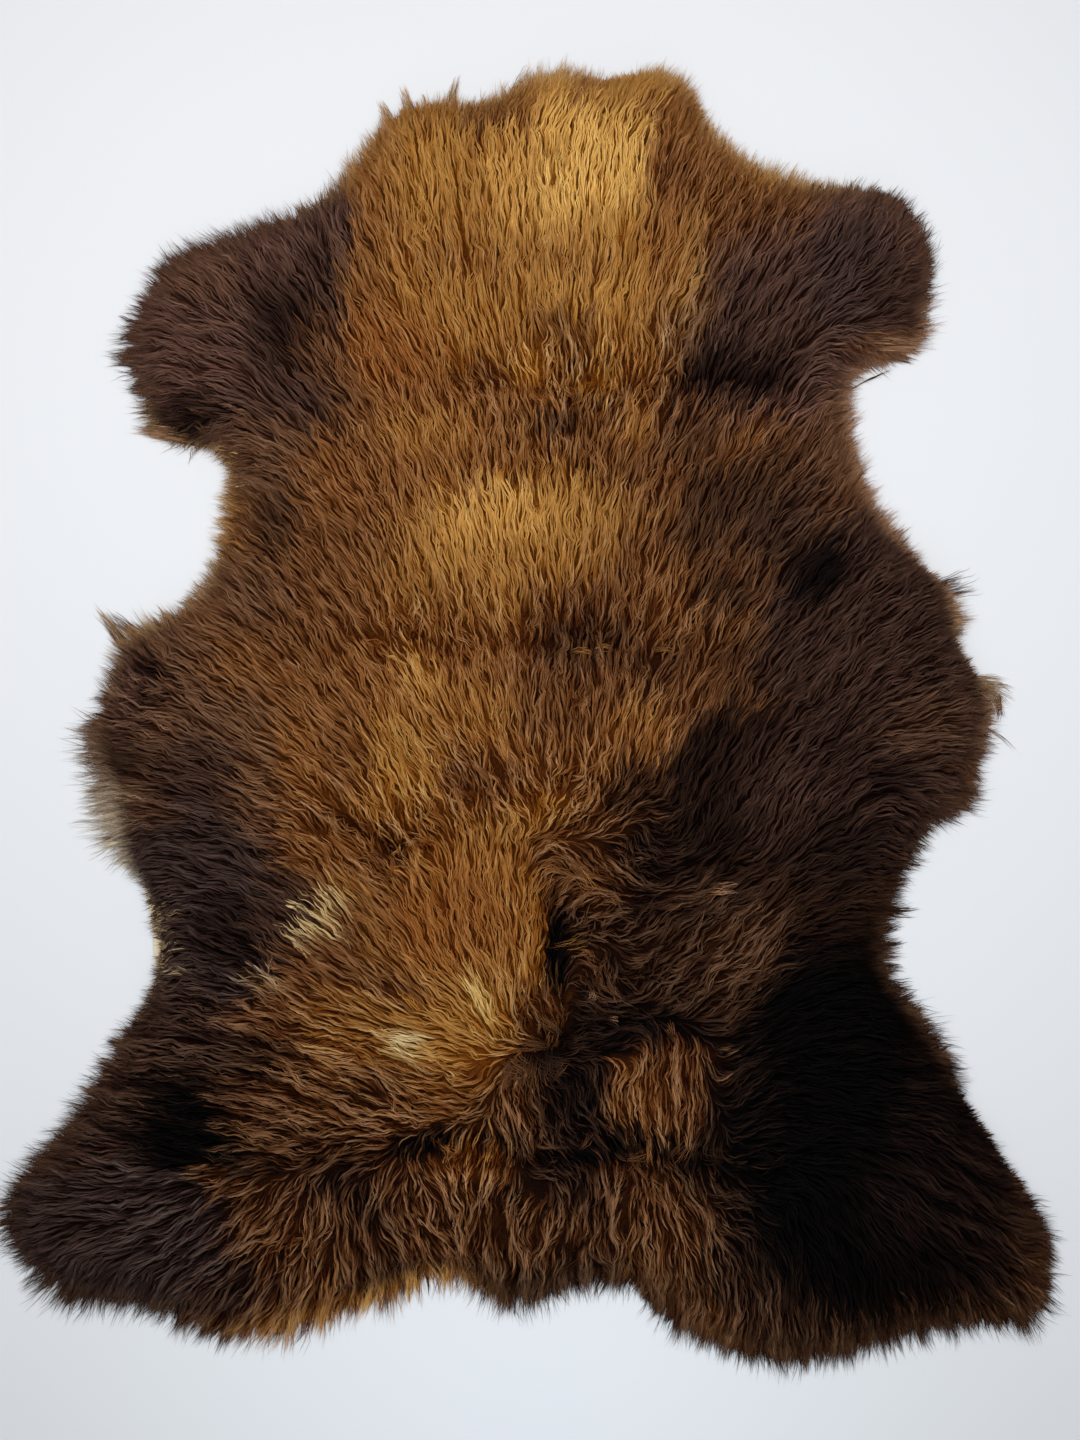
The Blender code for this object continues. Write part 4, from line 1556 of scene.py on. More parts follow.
def make_fields(hide_node, fleece_node):
    """Everything that varies over the skin, each as a grid of values."""
    fields, foot_ring = make_coarse_fields(hide_node, fleece_node)
    points = grid_points(FINE_PITCH)
    places = to_picture(points)
    soft = sample(fields["soft"], points)
    hind = smooth((places[:, 1] - HIND_FROM) / HIND_FADE) * (1 - soft)
    ruffle = sample(fields["ruffle"], points)
    rough = smooth((places[:, 1] - ROUGH_FROM) / ROUGH_FADE) * (1 - soft)
    fields["rough"] = on_grid(np.maximum(ruffle, rough), FINE_PITCH)
    fields["heading"] = swayed(fields, points, hind, ruffle)
    rise_y, rise_x = np.gradient(fields["in foot"], GRID_PITCH)
    away = -unit(np.dstack([rise_x, rise_y]))
    fields["outward"] = unit(fields["comb"] * (1 - OUTWARD_SHARE) + away * OUTWARD_SHARE)
    fields["fan"] = (np.gradient(fields["comb"][..., 0], GRID_PITCH, axis=1)
                     + np.gradient(fields["comb"][..., 1], GRID_PITCH, axis=0))
    fields["tone"] = on_grid(patch_tones(places), FINE_PITCH)
    fields["shade"] = on_grid(parting_shade(places), FINE_PITCH)
    for name, pitch, size, reach in (("wisp", WISP_GRID, WISP_SIZE, WISP_REACH),
                                     ("lock", GRID_PITCH, LOCK_SIZE, LOCK_REACH)):
        drawn = streaks(fields["heading"], fields["in hide"], pitch, size, reach,
                        NOISE_PARTS[name + "s"])
        fields[name], fields[name + " slope"] = drawn
    return fields, foot_ring


def scattered(chance, pitch):
    """Points in staggered rows over the grid, each shifted at random."""
    across = np.arange(-GRID_HALF[0], GRID_HALF[0], pitch)
    along = np.arange(-GRID_HALF[1], GRID_HALF[1], pitch * math.sqrt(3) / 2)
    x, y = np.meshgrid(across, along)
    x[1::2] += pitch / 2
    points = np.column_stack([x.ravel(), y.ravel()])
    return points + chance.uniform(-SCATTER, SCATTER, points.shape) * pitch


def flow_paths(way, roots, length, turn, shares):
    """The path over the skin of each wisp, turned a little off the comb's direction."""
    path = [roots]
    cosine, sine = np.cos(turn), np.sin(turn)
    for share in np.diff(shares):
        spot = path[-1]
        for _ in range(2):
            along = unit(sample(way, spot))
            along = np.column_stack([along[:, 0] * cosine - along[:, 1] * sine,
                                     along[:, 0] * sine + along[:, 1] * cosine])
            spot = spot + along * (length * share / 2)[:, None]
        path.append(spot)
    return np.stack(path, axis=1)


def lock_numbers(fields, chance, roots):
    """Which lock each root belongs to, and the middles of the locks."""
    middles = scattered(chance, LOCK_PITCH)
    middles = middles[sample(fields["in hide"], middles) > -LOCK_PITCH]
    tree = kdtree.KDTree(len(middles))
    for i, (x, y) in enumerate(middles):
        tree.insert((x, y, 0), i)
    tree.balance()
    return np.array([tree.find((x, y, 0))[1] for x, y in roots]), middles


def nearness_to_rim(fields, roots):
    """How near the rim each root lies, from 0 well inside to 1 at the foot's edge."""
    return smooth(1 - sample(fields["in foot"], roots) / RIM_EVEN_BAND)


def comb_wisps(fields, chance, roots, look):
    """Each wisp's path over the skin and the middle of its lock."""
    count = len(roots)
    ruffle = sample(fields["ruffle"], roots)
    lock, middles = lock_numbers(fields, chance, roots)
    length = sample(fields["length"], roots) * chance.uniform(*look["longer"], count)
    length *= 1 - RUFFLE_SHORTENING * ruffle
    length *= 1 - INNER_SHORTENING * smooth(sample(fields["in hide"], roots) / INNER_FROM - 1)
    length *= 1 - (1 - look["rim reach"]) * nearness_to_rim(fields, roots)
    lock_turn = chance.normal(0, 1, len(middles))[lock]
    turn = np.radians(lock_turn * added(LOCK_TURN, ruffle))
    turn += np.radians(chance.normal(0, 1, count) * (look["turn"] + WISP_TURN * ruffle))
    way = fields[look["way"]]
    paths = flow_paths(way, roots, length, turn, look["shares"])
    before = share_before_parting(roots, paths[:, -1])
    past = before * chance.uniform(*PAST_PARTING, count) + PAST_PARTING_ADDED
    kept = np.clip(np.where(before < 1, past, 1), LEAST_LENGTH, 1)
    return flow_paths(way, roots, length * kept, turn, look["shares"]), middles[lock]


def lay_strands(fields, chance, roots, look):
    """The line of each strand over the skin, its direction and the number of its wisp."""
    shares = look["shares"]
    paths, middles = comb_wisps(fields, chance, roots, look)
    wisp = np.repeat(np.arange(len(roots)), look["strands"])
    line = paths[wisp]
    along = unit(line[:, -1] - line[:, 0])
    across = np.column_stack([along[:, 1], -along[:, 0]])
    aside = ((middles - roots)[wisp] * across).sum(1)
    pull = added(LOCK_GATHER, sample(fields["ruffle"], roots)[wisp]) * aside
    spread = chance.normal(0, STRAND_SPREAD, len(wisp)) * look["radius"]
    drift = spread[:, None] * (1 - WISP_CLOSING * shares)
    drift = drift + pull[:, None] * shares**LOCK_GATHER_POWER
    line = line + across[:, None] * drift[:, :, None]
    stagger = chance.uniform(-1, 1, len(wisp)) * look["stagger"]
    line = line + along[:, None] * (stagger[:, None] * shares)[:, :, None]
    stray = chance.normal(0, look["stray"], len(wisp))[:, None] * shares**STRAY_POWER
    gather = added(GATHER, sample(fields["rough"], roots))
    gather = gather * (1 - RIM_EVENNESS * nearness_to_rim(fields, roots))
    gather = gather * (1 - SOFT_EVENNESS * sample(fields["soft"], roots))
    gathered = 0
    for name, strength in (("wisp", WISP_PULL), ("lock", look["lock pull"])):
        pulled = sample(fields[name + " slope"], line) * strength
        gathered = gathered + np.clip(pulled, -MOST_PULL[name], MOST_PULL[name])
    gathered = gathered * gather[wisp][:, None] * shares
    line = line + across[:, None] * (gathered + stray)[:, :, None]
    return line, along, wisp


def lift_strands(fields, chance, strands, look):
    """How far each strand sinks in, and how high each of its points lies."""
    shares, line, wisp = look["shares"], strands["line"], strands["wisp"]
    few = chance.uniform(0, 1, strands["wisps"]) ** SINK_POWER
    sink = between(WISP_SINK, strands["rough"]) * few[wisp]
    sink = sink + chance.uniform(0, STRAND_SINK, len(wisp))
    sink = sink * (1 - GOLD_SINK * strands["softened"])
    top = sample(fields["top"], line)
    uneven = chance.uniform(0, GROUND_UNEVENNESS, len(wisp))
    low = sample(fields["ground"], line) + uneven[:, None]
    share = top / (top + THIN_WOOL)
    root_depth = between(ROOT_DEPTH, strands["rough"])
    height = top - root_depth[:, None] * (1 - shares) ** RISE_POWER
    height += share * (WISP_RISE * strands["wisp rise"] + LOCK_RISE * strands["lock rise"])
    height -= sink[:, None] * between(SINK_ALONG, shares) * share
    lift = chance.exponential(look["lift"], len(wisp))[:, None] * shares**2
    return sink, np.maximum(height + lift, low)


def light_strands(fields, chance, strands, sink, look):
    """How light each point of the strands is next to its tint, in painted shade and light."""
    wisp, softened = strands["wisp"], strands["softened"]
    light = chance.normal(1, look["wisp contrast"], strands["wisps"])[wisp]
    light = light * chance.normal(1, look["strand contrast"], len(wisp))
    # Sunken strands are darker: painted shade for their depth.
    depth = SURFACE_LIGHT - DEPTH_SHADE * np.clip(sink / WISP_SINK["rough"], 0, 1)
    rough = strands["rough"][:, None]
    # Raised wisps and locks get painted light, sunken ones painted shade.
    ridge = np.exp(between(WISP_LIGHT, rough) * strands["wisp rise"]
                   + between(LOCK_LIGHT, rough) * strands["lock rise"])
    # Painted shade in the slits between wisps.
    darkest = between(SLIT_DARKNESS, rough) * (1 - SLIT_SOFTENING * softened)[:, None]
    slit = (-strands["wisp rise"] - between(SLIT_FROM, rough)) / SLIT_FADE
    bright = np.clip(light * depth, *STRAND_LIGHTS)[:, None] * ridge
    bright = bright * (1 - smooth(slit) * darkest)
    contrast = between(CONTRAST, softened)
    contrast = contrast * (1 + ROUGH_CONTRAST * strands["rough"]
                           - SOFT_CONTRAST * strands["soft"])
    bright = np.where(bright > 1, bright**LIGHT_SHARE, bright)
    bright = np.minimum(bright ** contrast[:, None], MOST_LIGHT)
    # Painted shade along the partings.
    bright = bright * (1 - sample(fields["shade"], strands["line"]))
    # The rows' painted shade, darkest at the root and less of it in gold wool.
    return bright * look["light"] ** (1 - GOLD_ROOTS * softened)[:, None]


def colour_strands(fields, strands, out, bright, look):
    """The colour of each point of the strands, as linear light."""
    tint, golden = strands["tint"], strands["golden"]
    # Out over the floor a strand turns to the fringe's tone: its own colour and a painted glow.
    outside = smooth((out - look["rim from"]) / look["rim fade"]) * look["rim share"]
    fringe_tone_and_glow = sample(fields["rim tone"], strands["line"][:, 0])
    shown = tint[:, None] + (fringe_tone_and_glow - tint)[:, None] * outside[:, :, None]
    blue = tint[:, 2] / np.maximum(tint[:, 1], LEAST_GREEN)
    yellow = (golden * np.clip((PALE_FROM - blue) / PALE_FADE, 0, 1))[:, None]
    # Lighter points turn paler as painted sheen, darker ones warmer as painted shade.
    powers = highlight_powers(yellow)
    level = between(LEVEL, golden)
    return shown * level[:, None, None] * bright[:, :, None] ** powers[:, None]


def grow_strands(fields, chance, roots, look):
    """The centre lines, widths and tints of the strands of wisps with these roots."""
    line, along, wisp = lay_strands(fields, chance, roots, look)
    jitter = along * chance.normal(0, TONE_JITTER, len(roots))[wisp][:, None]
    jitter = jitter + chance.normal(0, STRAND_JITTER, (len(wisp), 2))
    tint = sample(fields["tone"], line[:, look["tint row"]] + jitter)
    golden = np.sqrt(np.clip(tint[:, 1] / GOLD_GREEN, 0, 1))
    rough = sample(fields["rough"], roots)[wisp]
    strands = {
        "wisps": len(roots),
        "wisp": wisp,
        "line": line,
        "tint": tint,
        "golden": golden,
        "softened": golden**GOLD_POWER * (1 - ROUGH_GOLD * rough),
        "rough": rough,
        "soft": sample(fields["soft"], roots)[wisp],
        "wisp rise": sample(fields["wisp"], line),
        "lock rise": sample(fields["lock"], line),
    }
    sink, height = lift_strands(fields, chance, strands, look)
    bright = light_strands(fields, chance, strands, sink, look)
    out = -sample(fields["in foot"], line)
    colour = colour_strands(fields, strands, out, bright, look)
    thinned = smooth((out[:, -1] - THINNING_FROM) / THINNING_FADE)
    thin = 1 - look["rim thinning"] * thinned
    width = look["width"] * chance.uniform(*WIDTHS, len(wisp)) * thin
    return np.dstack([line, height]), width, colour, between(EVENED, strands["softened"])


def ribbon_points(centre, width, evened, roll, look):
    """The points of flat tapering ribbons and their rounded shading, strand by strand."""
    count, rows = centre.shape[:2]
    along = unit(np.gradient(centre, axis=1))
    flat = unit(np.dstack([along[..., 1], -along[..., 0], np.zeros((count, rows))]))
    over = np.cross(flat, along)
    side = flat * np.cos(roll)[:, None, None] + over * np.sin(roll)[:, None, None]
    face = np.cross(side, along)
    reach = side * (width[:, None] * look["widths"] / 2)[:, :, None]
    left, right = centre - reach, centre + reach
    left[..., 2] = np.maximum(left[..., 2], LEAST_HEIGHT / 2)
    right[..., 2] = np.maximum(right[..., 2], LEAST_HEIGHT / 2)
    points = np.empty((count, 2 * rows - 1, 3))
    normals = np.empty_like(points)
    points[:, 0:-1:2], points[:, 1:-1:2] = left[:, :-1], right[:, :-1]
    points[:, -1] = centre[:, -1]
    tilt, upright = math.sin(ROUNDING), math.cos(ROUNDING)
    normals[:, 0:-1:2] = (face * upright - side * tilt)[:, :-1]
    normals[:, 1:-1:2] = (face * upright + side * tilt)[:, :-1]
    normals[:, -1] = face[:, -1]
    normals = unit(normals) * (1 - evened)[:, None, None] + [0, 0, 1] * evened[:, None, None]
    return points, unit(normals)


def ribbon_faces(count, rows):
    """The corners of every strand's faces, and where each face starts among them."""
    per = 2 * rows - 1
    corners, starts = [], []
    for k in range(rows - 2):
        starts.append(len(corners))
        corners += [2 * k, 2 * k + 1, 2 * k + 3, 2 * k + 2]
    starts.append(len(corners))
    corners += [per - 3, per - 2, per - 1]
    loops = (np.arange(count)[:, None] * per + np.array(corners)).ravel()
    begins = (np.arange(count)[:, None] * len(corners) + np.array(starts)).ravel()
    return loops, begins


def ribbon_cells(count, cells, shares):
    """Each point's place in the texture, with a square cell to each strand."""
    rowwise = np.repeat(shares, 2)[:-1]
    sidewise = np.tile([0.0, 1.0], len(shares))[:-1]
    sidewise[-1] = 0.5
    room = 1 - 2 * CELL_MARGIN
    u = (np.arange(count) % cells)[:, None] + CELL_MARGIN + room * rowwise
    v = (np.arange(count) // cells)[:, None] + CELL_MARGIN + room * sidewise
    return np.dstack([u, v]).reshape(-1, 2)


def ribbon_mesh(name, centre, width, colour, evened, roll, look):
    """One mesh of ribbons, one to a strand, and how many texture cells are in a row."""
    count, rows = centre.shape[:2]
    points, normals = ribbon_points(centre, width, evened, roll, look)
    tints = np.ones((count, 2 * rows - 1, 4))
    tints[:, 0:-1:2, :3] = tints[:, 1:-1:2, :3] = colour[:, :-1]
    tints[:, -1, :3] = colour[:, -1]
    loops, begins = ribbon_faces(count, rows)
    mesh = bpy.data.meshes.new(name)
    mesh.vertices.add(points.shape[0] * points.shape[1])
    mesh.vertices.foreach_set("co", (points * MM).astype(np.float32).ravel())
    mesh.loops.add(len(loops))
    mesh.loops.foreach_set("vertex_index", loops.astype(np.int32))
    mesh.polygons.add(len(begins))
    mesh.polygons.foreach_set("loop_start", begins.astype(np.int32))
    mesh.update(calc_edges=True)
    cells = math.ceil(math.sqrt(count))
    spread = ribbon_cells(count, cells, look["shares"])[loops] / cells
    layer = mesh.uv_layers.new(name="OFBake")
    layer.data.foreach_set("uv", spread.astype(np.float32).ravel())
    # The tint holds the wool's colour with its painted shade and painted light.
    paint = mesh.color_attributes.new("tint", "FLOAT_COLOR", "POINT")
    paint.data.foreach_set("color", np.clip(tints, 0, 1).astype(np.float32).ravel())
    mesh.normals_split_custom_set_from_vertices(normals.reshape(-1, 3).tolist())
    return mesh, cells


def start_material(name):
    """A new material, its nodes and its shader."""
    material = bpy.data.materials.new(name)
    material.use_nodes = True
    tree = material.node_tree
    return material, tree, tree.nodes["Principled BSDF"]


def add_node(tree, kind, place, **values):
    """A shader node with its settings and the values of its named inputs."""
    node = tree.nodes.new(kind)
    node.location = place
    for key, value in values.items():
        if hasattr(node, key):
            setattr(node, key, value)
        else:
            node.inputs[key.replace("_", " ")].default_value = value
    return node


def ranged(tree, value, place, ends, span=(0.0, 1.0)):
    """The value turned from a span into what lies between two ends."""
    node = add_node(tree, "ShaderNodeMapRange", place, From_Min=span[0], From_Max=span[1],
                    To_Min=ends[0], To_Max=ends[1])
    tree.links.new(value, node.inputs["Value"])
    return node.outputs["Result"]


def scaled(tree, colour, factor, place):
    """The colour multiplied by the factor."""
    node = add_node(tree, "ShaderNodeVectorMath", place, operation="SCALE")
    tree.links.new(colour, node.inputs[0])
    tree.links.new(factor, node.inputs["Scale"])
    return node.outputs["Vector"]


def add_bump(tree, height, place, **values):
    """A bump node for the height."""
    node = add_node(tree, "ShaderNodeBump", place, **values)
    tree.links.new(height, node.inputs["Height"])
    return node


def wool_material(name, cells):
    """Wool: the painted tint with fine streaks along each strand, softly shining."""
    material, tree, shader = start_material(name)
    # The tint holds the wool's colour with its painted shade and painted light.
    paint = add_node(tree, "ShaderNodeVertexColor", (-900, 200), layer_name="tint")
    place = add_node(tree, "ShaderNodeUVMap", (-1300, -100), uv_map="OFBake")
    stretch = add_node(tree, "ShaderNodeMapping", (-1100, -100))
    along, across = STREAK_SCALE
    stretch.inputs["Scale"].default_value = (cells * along, cells * across, 1)
    fibres = add_node(tree, "ShaderNodeTexNoise", (-900, -100), Scale=1.0, Detail=3.0)
    tree.links.new(place.outputs["UV"], stretch.inputs["Vector"])
    tree.links.new(stretch.outputs["Vector"], fibres.inputs["Vector"])
    noise = fibres.outputs["Fac"]
    shade = ranged(tree, noise, (-700, 0), WOOL_SHADES, NOISE_SPAN)
    colour = scaled(tree, paint.outputs["Color"], shade, (-450, 150))
    tree.links.new(colour, shader.inputs["Base Color"])
    gloss = ranged(tree, noise, (-450, -50), WOOL_ROUGHNESS)
    tree.links.new(gloss, shader.inputs["Roughness"])
    bump = add_bump(tree, noise, (-450, -300), Strength=0.5, Distance=0.0004)
    tree.links.new(bump.outputs["Normal"], shader.inputs["Normal"])
    shader.inputs["Specular IOR Level"].default_value = SHINE
    return material


def undercoat_material():
    """The dense underwool: its tint darkened by painted shade, matt and fibrous."""
    material, tree, shader = start_material("underwool")
    paint = add_node(tree, "ShaderNodeVertexColor", (-700, 200), layer_name="tint")
    place = add_node(tree, "ShaderNodeTexCoord", (-1100, -100))
    fibres = add_node(tree, "ShaderNodeTexNoise", (-900, -100), Scale=420.0, Detail=6.0,
                      Distortion=1.6)
    tree.links.new(place.outputs["Object"], fibres.inputs["Vector"])
    noise = fibres.outputs["Fac"]
    shade = ranged(tree, noise, (-700, 0), UNDERCOAT_SHADES, NOISE_SPAN)
    colour = scaled(tree, paint.outputs["Color"], shade, (-450, 150))
    tree.links.new(colour, shader.inputs["Base Color"])
    bump = add_bump(tree, noise, (-450, -300), Strength=0.9, Distance=0.0015)
    tree.links.new(bump.outputs["Normal"], shader.inputs["Normal"])
    shader.inputs["Roughness"].default_value = 0.85
    shader.inputs["Specular IOR Level"].default_value = SHINE
    return material


def leather_material():
    """Undyed leather: a pale, napped flesh side and cut edge, stained at the right waist."""
    material, tree, shader = start_material("leather")
    place = add_node(tree, "ShaderNodeTexCoord", (-1300, 0))
    clouds = add_node(tree, "ShaderNodeTexNoise", (-1100, 200), Scale=14.0, Detail=5.0)
    nap = add_node(tree, "ShaderNodeTexNoise", (-1100, -100), Scale=900.0, Detail=6.0,
                   Distortion=0.8)
    creases = add_node(tree, "ShaderNodeTexVoronoi", (-1100, -400), Scale=160.0,
                       feature="DISTANCE_TO_EDGE")
    for texture in (clouds, nap, creases):
        tree.links.new(place.outputs["Object"], texture.inputs["Vector"])
    tone = add_node(tree, "ShaderNodeValToRGB", (-850, 200))
    for element, position, colour in zip(tone.color_ramp.elements, NOISE_SPAN, LEATHER_TONES):
        element.position = position
        element.color = colour
    tree.links.new(clouds.outputs["Fac"], tone.inputs["Fac"])
    fine = ranged(tree, nap.outputs["Fac"], (-850, -100), LEATHER_SHADES)
    sides = add_node(tree, "ShaderNodeSeparateXYZ", (-1100, 450))
    tree.links.new(place.outputs["Object"], sides.inputs["Vector"])
    right = ranged(tree, sides.outputs["X"], (-950, 550), (0.0, 1.0), STAIN_ACROSS)
    upper = ranged(tree, sides.outputs["Z"], (-950, 350), (0.0, 1.0), STAIN_UP)
    stained = add_node(tree, "ShaderNodeMath", (-800, 450), operation="MULTIPLY")
    tree.links.new(right, stained.inputs[0])
    tree.links.new(upper, stained.inputs[1])
    both = add_node(tree, "ShaderNodeMix", (-700, 300), data_type="RGBA")
    tree.links.new(stained.outputs["Value"], both.inputs["Factor"])
    tree.links.new(tone.outputs["Color"], both.inputs["A"])
    both.inputs["B"].default_value = STAIN_TONE
    colour = scaled(tree, both.outputs["Result"], fine, (-550, 150))
    tree.links.new(colour, shader.inputs["Base Color"])
    rough = ranged(tree, nap.outputs["Fac"], (-550, -50), LEATHER_ROUGHNESS)
    tree.links.new(rough, shader.inputs["Roughness"])
    grain = add_bump(tree, creases.outputs["Distance"], (-550, -400), Strength=0.3,
                     Distance=0.0006, invert=True)
    bump = add_bump(tree, nap.outputs["Fac"], (-300, -300), Strength=0.5, Distance=0.0004)
    tree.links.new(grain.outputs["Normal"], bump.inputs["Normal"])
    tree.links.new(bump.outputs["Normal"], shader.inputs["Normal"])
    return material


def floor_material():
    """A plain pale floor with the faintest unevenness."""
    material, tree, shader = start_material("pale_floor")
    place = add_node(tree, "ShaderNodeTexCoord", (-900, 0))
    clouds = add_node(tree, "ShaderNodeTexNoise", (-700, 0), Scale=2.0, Detail=2.0)
    tree.links.new(place.outputs["Object"], clouds.inputs["Vector"])
    tone = add_node(tree, "ShaderNodeValToRGB", (-500, 0))
    for element, colour in zip(tone.color_ramp.elements, FLOOR_TONES):
        element.color = colour
    tree.links.new(clouds.outputs["Fac"], tone.inputs["Fac"])
    tree.links.new(tone.outputs["Color"], shader.inputs["Base Color"])
    shader.inputs["Roughness"].default_value = 0.9
    return material


def show(mesh, material):
    """An object for the mesh, in the scene and with its material."""
    mesh.materials.append(material)
    item = bpy.data.objects.new(mesh.name, mesh)
    bpy.context.scene.collection.objects.link(item)
    return item


def undercoat_mesh(fields, foot_ring):
    """The undercoat's closed mesh: its lumpy top, its walls and its flat underside."""
    steps = np.linalg.norm(np.roll(foot_ring, -1, axis=0) - foot_ring, axis=1)
    run = np.concatenate([[0], np.cumsum(steps)])
    closed = np.vstack([foot_ring, foot_ring[:1]])
    places = np.linspace(0, run[-1], round(run[-1] / UNDERCOAT_PITCH), endpoint=False)
    ring = np.column_stack([np.interp(places, run, column) for column in closed.T])
    ahead = unit(np.roll(ring, -1, axis=0) - np.roll(ring, 1, axis=0))
    ring = ring + np.column_stack([-ahead[:, 1], ahead[:, 0]]) * UNDERCOAT_INSET
    inner = scattered(np.random.default_rng(SEED), UNDERCOAT_PITCH)
    room = UNDERCOAT_INSET + UNDERCOAT_PITCH * UNDERCOAT_ROOM
    inner = inner[sample(fields["in foot"], inner) > room]
    flat = [Vector(p) for p in np.vstack([ring, inner])]
    count = len(ring)
    sides = [(i, (i + 1) % count) for i in range(count)]
    cut = delaunay_2d_cdt(flat, sides, [], FILL_INSIDE, MERGE_DISTANCE)
    placed, faces, sources = np.array(cut[0]), cut[2], cut[3]
    rough = UNDERCOAT_ROUGHNESS * soft_noise(placed, UNDERCOAT_LUMP, NOISE_PARTS["undercoat"])
    top = sample(fields["top"], placed) - UNDERCOAT_DEPTH
    points = np.column_stack([placed, np.maximum(top + rough, FOOT_LEVEL + UNDERCOAT_RISE)])
    order = {source[0]: i for i, source in enumerate(sources) if source[0] < count}
    border = [order[i] for i in range(count)]
    below = [len(placed) + i for i in range(count)]
    floor = np.column_stack([ring, np.full(count, FOOT_LEVEL)])
    walls = [(below[i], below[j], border[j], border[i]) for i, j in sides]
    mesh = bpy.data.meshes.new("undercoat")
    mesh.from_pydata((np.vstack([points, floor]) * MM).tolist(), [],
                     [tuple(f) for f in faces] + walls + [tuple(below[::-1])])
    mesh.update()
    return mesh, np.vstack([placed, ring])


def make_undercoat(fields, foot_ring):
    """The dense underwool that carries the long wool and closes the gaps in it."""
    mesh, every = undercoat_mesh(fields, foot_ring)
    tone = sample(fields["tone"], every)
    golden = np.sqrt(np.clip(tone[:, 1:2] / GOLD_GREEN, 0, 1))
    # The wool's tone darkened by painted shade of the deep layer, yellower under gold wool.
    light = between(UNDERCOAT_LIGHT, golden)
    powers = highlight_powers(UNDERCOAT_YELLOW * golden)
    tint = np.ones((len(every), 4))
    # More painted shade along the partings and under rough wool.
    dark = 1 - sample(fields["shade"], every)
    dark *= 1 - ROUGH_UNDERCOAT * sample(fields["rough"], every)
    tint[:, :3] = tone * light**powers * dark[:, None]
    paint = mesh.color_attributes.new("tint", "FLOAT_COLOR", "POINT")
    paint.data.foreach_set("color", tint.astype(np.float32).ravel())
    mesh.shade_smooth()
    return show(mesh, undercoat_material())


def on_bare_edge(fields, roots):
    """Which roots lie on the edges where the leather shows."""
    down = to_picture(roots)[:, 1]
    right_waist = (down > RIGHT_WAIST[0]) & (down < RIGHT_WAIST[1])
    near_edge = sample(fields["in foot"], roots) < BARE_INSIDE
    return near_edge & ((roots[:, 0] < 0) | right_waist)


def make_wool(fields, sparser):
    """The long wool over the whole skin, as a few meshes of strands."""
    chance = np.random.default_rng(SEED + 1)
    roots = scattered(chance, WOOL["pitch"] * sparser)
    room = sample(fields["in hide"], roots)
    kept = chance.uniform(0, 1, len(roots)) < ROOTS_KEPT + FAN_GAIN * sample(fields["fan"], roots)
    roots = roots[(room > WOOL_INSIDE) & kept & ~on_bare_edge(fields, roots)]
    return cut_into_pieces("wool", grow_strands(fields, chance, roots, WOOL), chance, WOOL)


def make_rim(fields, sparser):
    """The finer hair in a band along the rim, which reaches out over the floor."""
    chance = np.random.default_rng(SEED + 2)
    roots = scattered(chance, RIM["pitch"] * sparser)
    room = sample(fields["in hide"], roots)
    kept = chance.uniform(0, 1, len(roots)) > room / RIM_BAND
    roots = roots[(room > RIM_INSIDE) & kept & ~on_bare_edge(fields, roots)]
    return cut_into_pieces("rim_wool", grow_strands(fields, chance, roots, RIM), chance, RIM)


def make_skirt(fields, sparser):
    """The short dense hair that hides the undercoat's edge."""
    chance = np.random.default_rng(SEED + 4)
    roots = scattered(chance, SKIRT["pitch"] * sparser)
    inside = sample(fields["in foot"], roots)
    in_band = (inside > SKIRT_BAND[0]) & (inside < SKIRT_BAND[1])
    roots = roots[in_band & ~on_bare_edge(fields, roots)]
    grown = grow_strands(fields, chance, roots, SKIRT)
    return cut_into_pieces("skirt_wool", grown, chance, SKIRT)


def grow_tuft(fields, chance, row):
    """The centre lines, widths and tints of the strands of one row of the tufts' table."""
    x, y, heading, turn, length, spread, fan, count, width, rise, root, tip = row
    shares = TUFT["shares"]
    away = chance.uniform(-1, 1, count)
    ahead = chance.uniform(-1, 1, count)
    angle = math.radians(heading)
    along = np.array([math.cos(angle), math.sin(angle)])
    across = np.array([-along[1], along[0]])
    offset = away[:, None] * across + ahead[:, None] * along
    apart = chance.normal(0, TUFT_TURN, count) * (1 + abs(fan))
    first = angle + np.radians(fan * away + apart)
    long = length * chance.uniform(*TUFT_LONGER, count)
    line = [from_picture((x, y)) + spread * offset]
    for share, step in zip(shares[:-1], np.diff(shares)):
        way = first + math.radians(turn) * (share + step / 2)
        onward = np.column_stack([np.cos(way), np.sin(way)])
        line.append(line[-1] + onward * (long * step)[:, None])
    line = np.stack(line, axis=1)
    phase = chance.uniform(0, 2 * math.pi) + chance.normal(0, TUFT_PHASE, count)
    run = shares * length / TUFT_WAVE[0] * 2 * math.pi + phase[:, None]
    line = line + (np.sin(run) * shares * TUFT_WAVE[1])[:, :, None] * across
    low = sample(fields["ground"], line)
    low = low + chance.uniform(0, TUFT_UNEVENNESS, count)[:, None]
    height = sample(fields["top"], line) - TUFT_DEPTH * (1 - shares) ** 2
    height += rise * np.sin(math.pi * added(TUFT_ARC, shares))
    height = np.maximum(height - chance.uniform(0, TUFT_SINK, count)[:, None], low)
    # A tuft's strands differ in light at random, and its rows add painted shade at the root.
    light = np.exp(chance.normal(0, TUFT_CONTRAST, count))[:, None] * TUFT["light"]
    tones = {"root": linear(TONES[root]), "tip": linear(TONES[tip])}
    tone = between(tones, shares[:, None] ** TUFT_TONE_POWER)
    colour = tone * (light * TUFT_LEVEL)[:, :, None]
    width = width * chance.uniform(*WIDTHS, count)
    return np.dstack([line, height]), width, colour, np.full(count, EVENED["dark"])


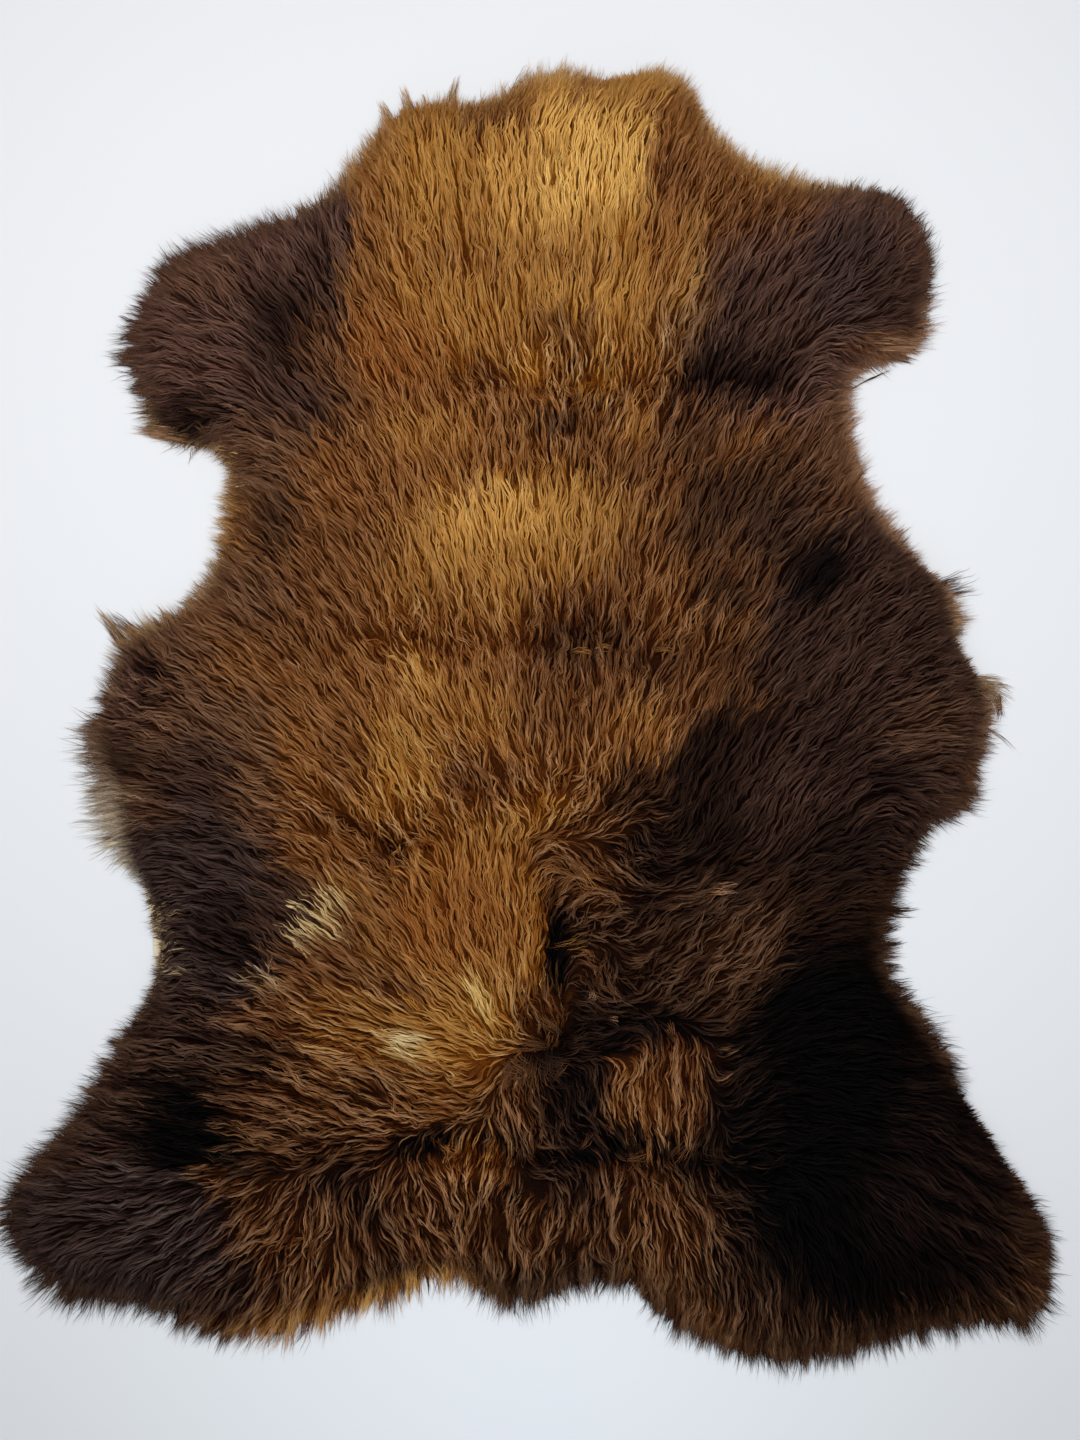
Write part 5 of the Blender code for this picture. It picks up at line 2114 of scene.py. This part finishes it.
def make_tufts(fields):
    """The tufts and curls that differ from the wool round them, as one mesh."""
    chance = np.random.default_rng(SEED + 5)
    parts = [grow_tuft(fields, chance, row) for rows in TUFTS.values() for row in rows]
    centre, width, colour, evened = (np.concatenate(part) for part in zip(*parts))
    roll = chance.normal(0, math.radians(TUFT["roll"]), len(centre))
    mesh, cells = ribbon_mesh("tufts", centre, width, colour, evened, roll, TUFT)
    return [show(mesh, wool_material("tufts", cells))]


def cut_into_pieces(name, grown, chance, look):
    """Meshes of no more strands than a piece may have, in bands from neck to tail."""
    centre, width, colour, evened = grown
    order = np.argsort(-centre[:, 0, 1])
    parts = np.array_split(order, math.ceil(len(order) / PIECE_STRANDS[name]))
    pieces = []
    for number, part in enumerate(parts, 1):
        roll = chance.normal(0, math.radians(look["roll"]), len(part))
        label = f"{name}_{number}"
        mesh, cells = ribbon_mesh(label, centre[part], width[part], colour[part],
                                  evened[part], roll, look)
        pieces.append(show(mesh, wool_material(label, cells)))
    return pieces


def add_area_light(name, place, size, power, colour):
    """A soft square light that points at the skin."""
    light = bpy.data.lights.new(name, "AREA")
    light.shape = "SQUARE"
    light.size = size
    light.energy = power
    light.color = colour
    item = bpy.data.objects.new(name, light)
    item.location = place
    item.rotation_euler = (-Vector(place)).to_track_quat("-Z", "Y").to_euler()
    item.visible_camera = False
    bpy.context.scene.collection.objects.link(item)


def make_floor():
    """The pale floor under the skin."""
    mesh = bpy.data.meshes.new("floor")
    half = FLOOR_HALF
    corners = [(-half, -half, 0), (half, -half, 0), (half, half, 0), (-half, half, 0)]
    mesh.from_pydata(corners, [], [(0, 1, 2, 3)])
    floor = show(mesh, floor_material())
    floor.location.z = -FLOOR_DROP


def make_camera():
    """The camera straight above the picture's middle."""
    camera = bpy.data.cameras.new("camera")
    camera.lens = CAMERA_LENS
    camera.sensor_width = CAMERA_SENSOR
    item = bpy.data.objects.new("camera", camera)
    centre = from_picture(np.array(PICTURE) / 2) * MM
    picture_height = PICTURE[1] * PIXEL * MM
    rise = picture_height * camera.lens / camera.sensor_width
    item.location = (centre[0], centre[1], rise + CAMERA_RISE)
    bpy.context.scene.collection.objects.link(item)
    bpy.context.scene.camera = item


def make_studio():
    """A pale floor, soft lights and the camera straight above the skin."""
    make_floor()
    world = bpy.data.worlds.new("studio")
    world.use_nodes = True
    background = world.node_tree.nodes["Background"]
    background.inputs["Color"].default_value = WORLD_COLOUR
    background.inputs["Strength"].default_value = WORLD_STRENGTH
    bpy.context.scene.world = world
    for name, place, size, power, colour in LIGHTS:
        add_area_light(name, place, size, power, colour)
    make_camera()
    bpy.context.scene.view_settings.view_transform = "Standard"


def main():
    """The whole scene: the leather, the undercoat, the wool and the studio."""
    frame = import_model()
    nodes = frame["nodes"]
    fields, foot_ring = make_fields(nodes["hide"], nodes["fleece"])
    sparser = 1.0
    hide = nodes["hide"]
    hide.data.materials.clear()
    hide.data.materials.append(leather_material())
    undercoat = make_undercoat(fields, foot_ring)
    wool = make_wool(fields, sparser) + make_rim(fields, sparser)
    wool += make_skirt(fields, sparser) + make_tufts(fields)
    for piece in [undercoat, *wool]:
        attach(piece, "root")
        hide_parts("fleece")
    make_studio()


main()
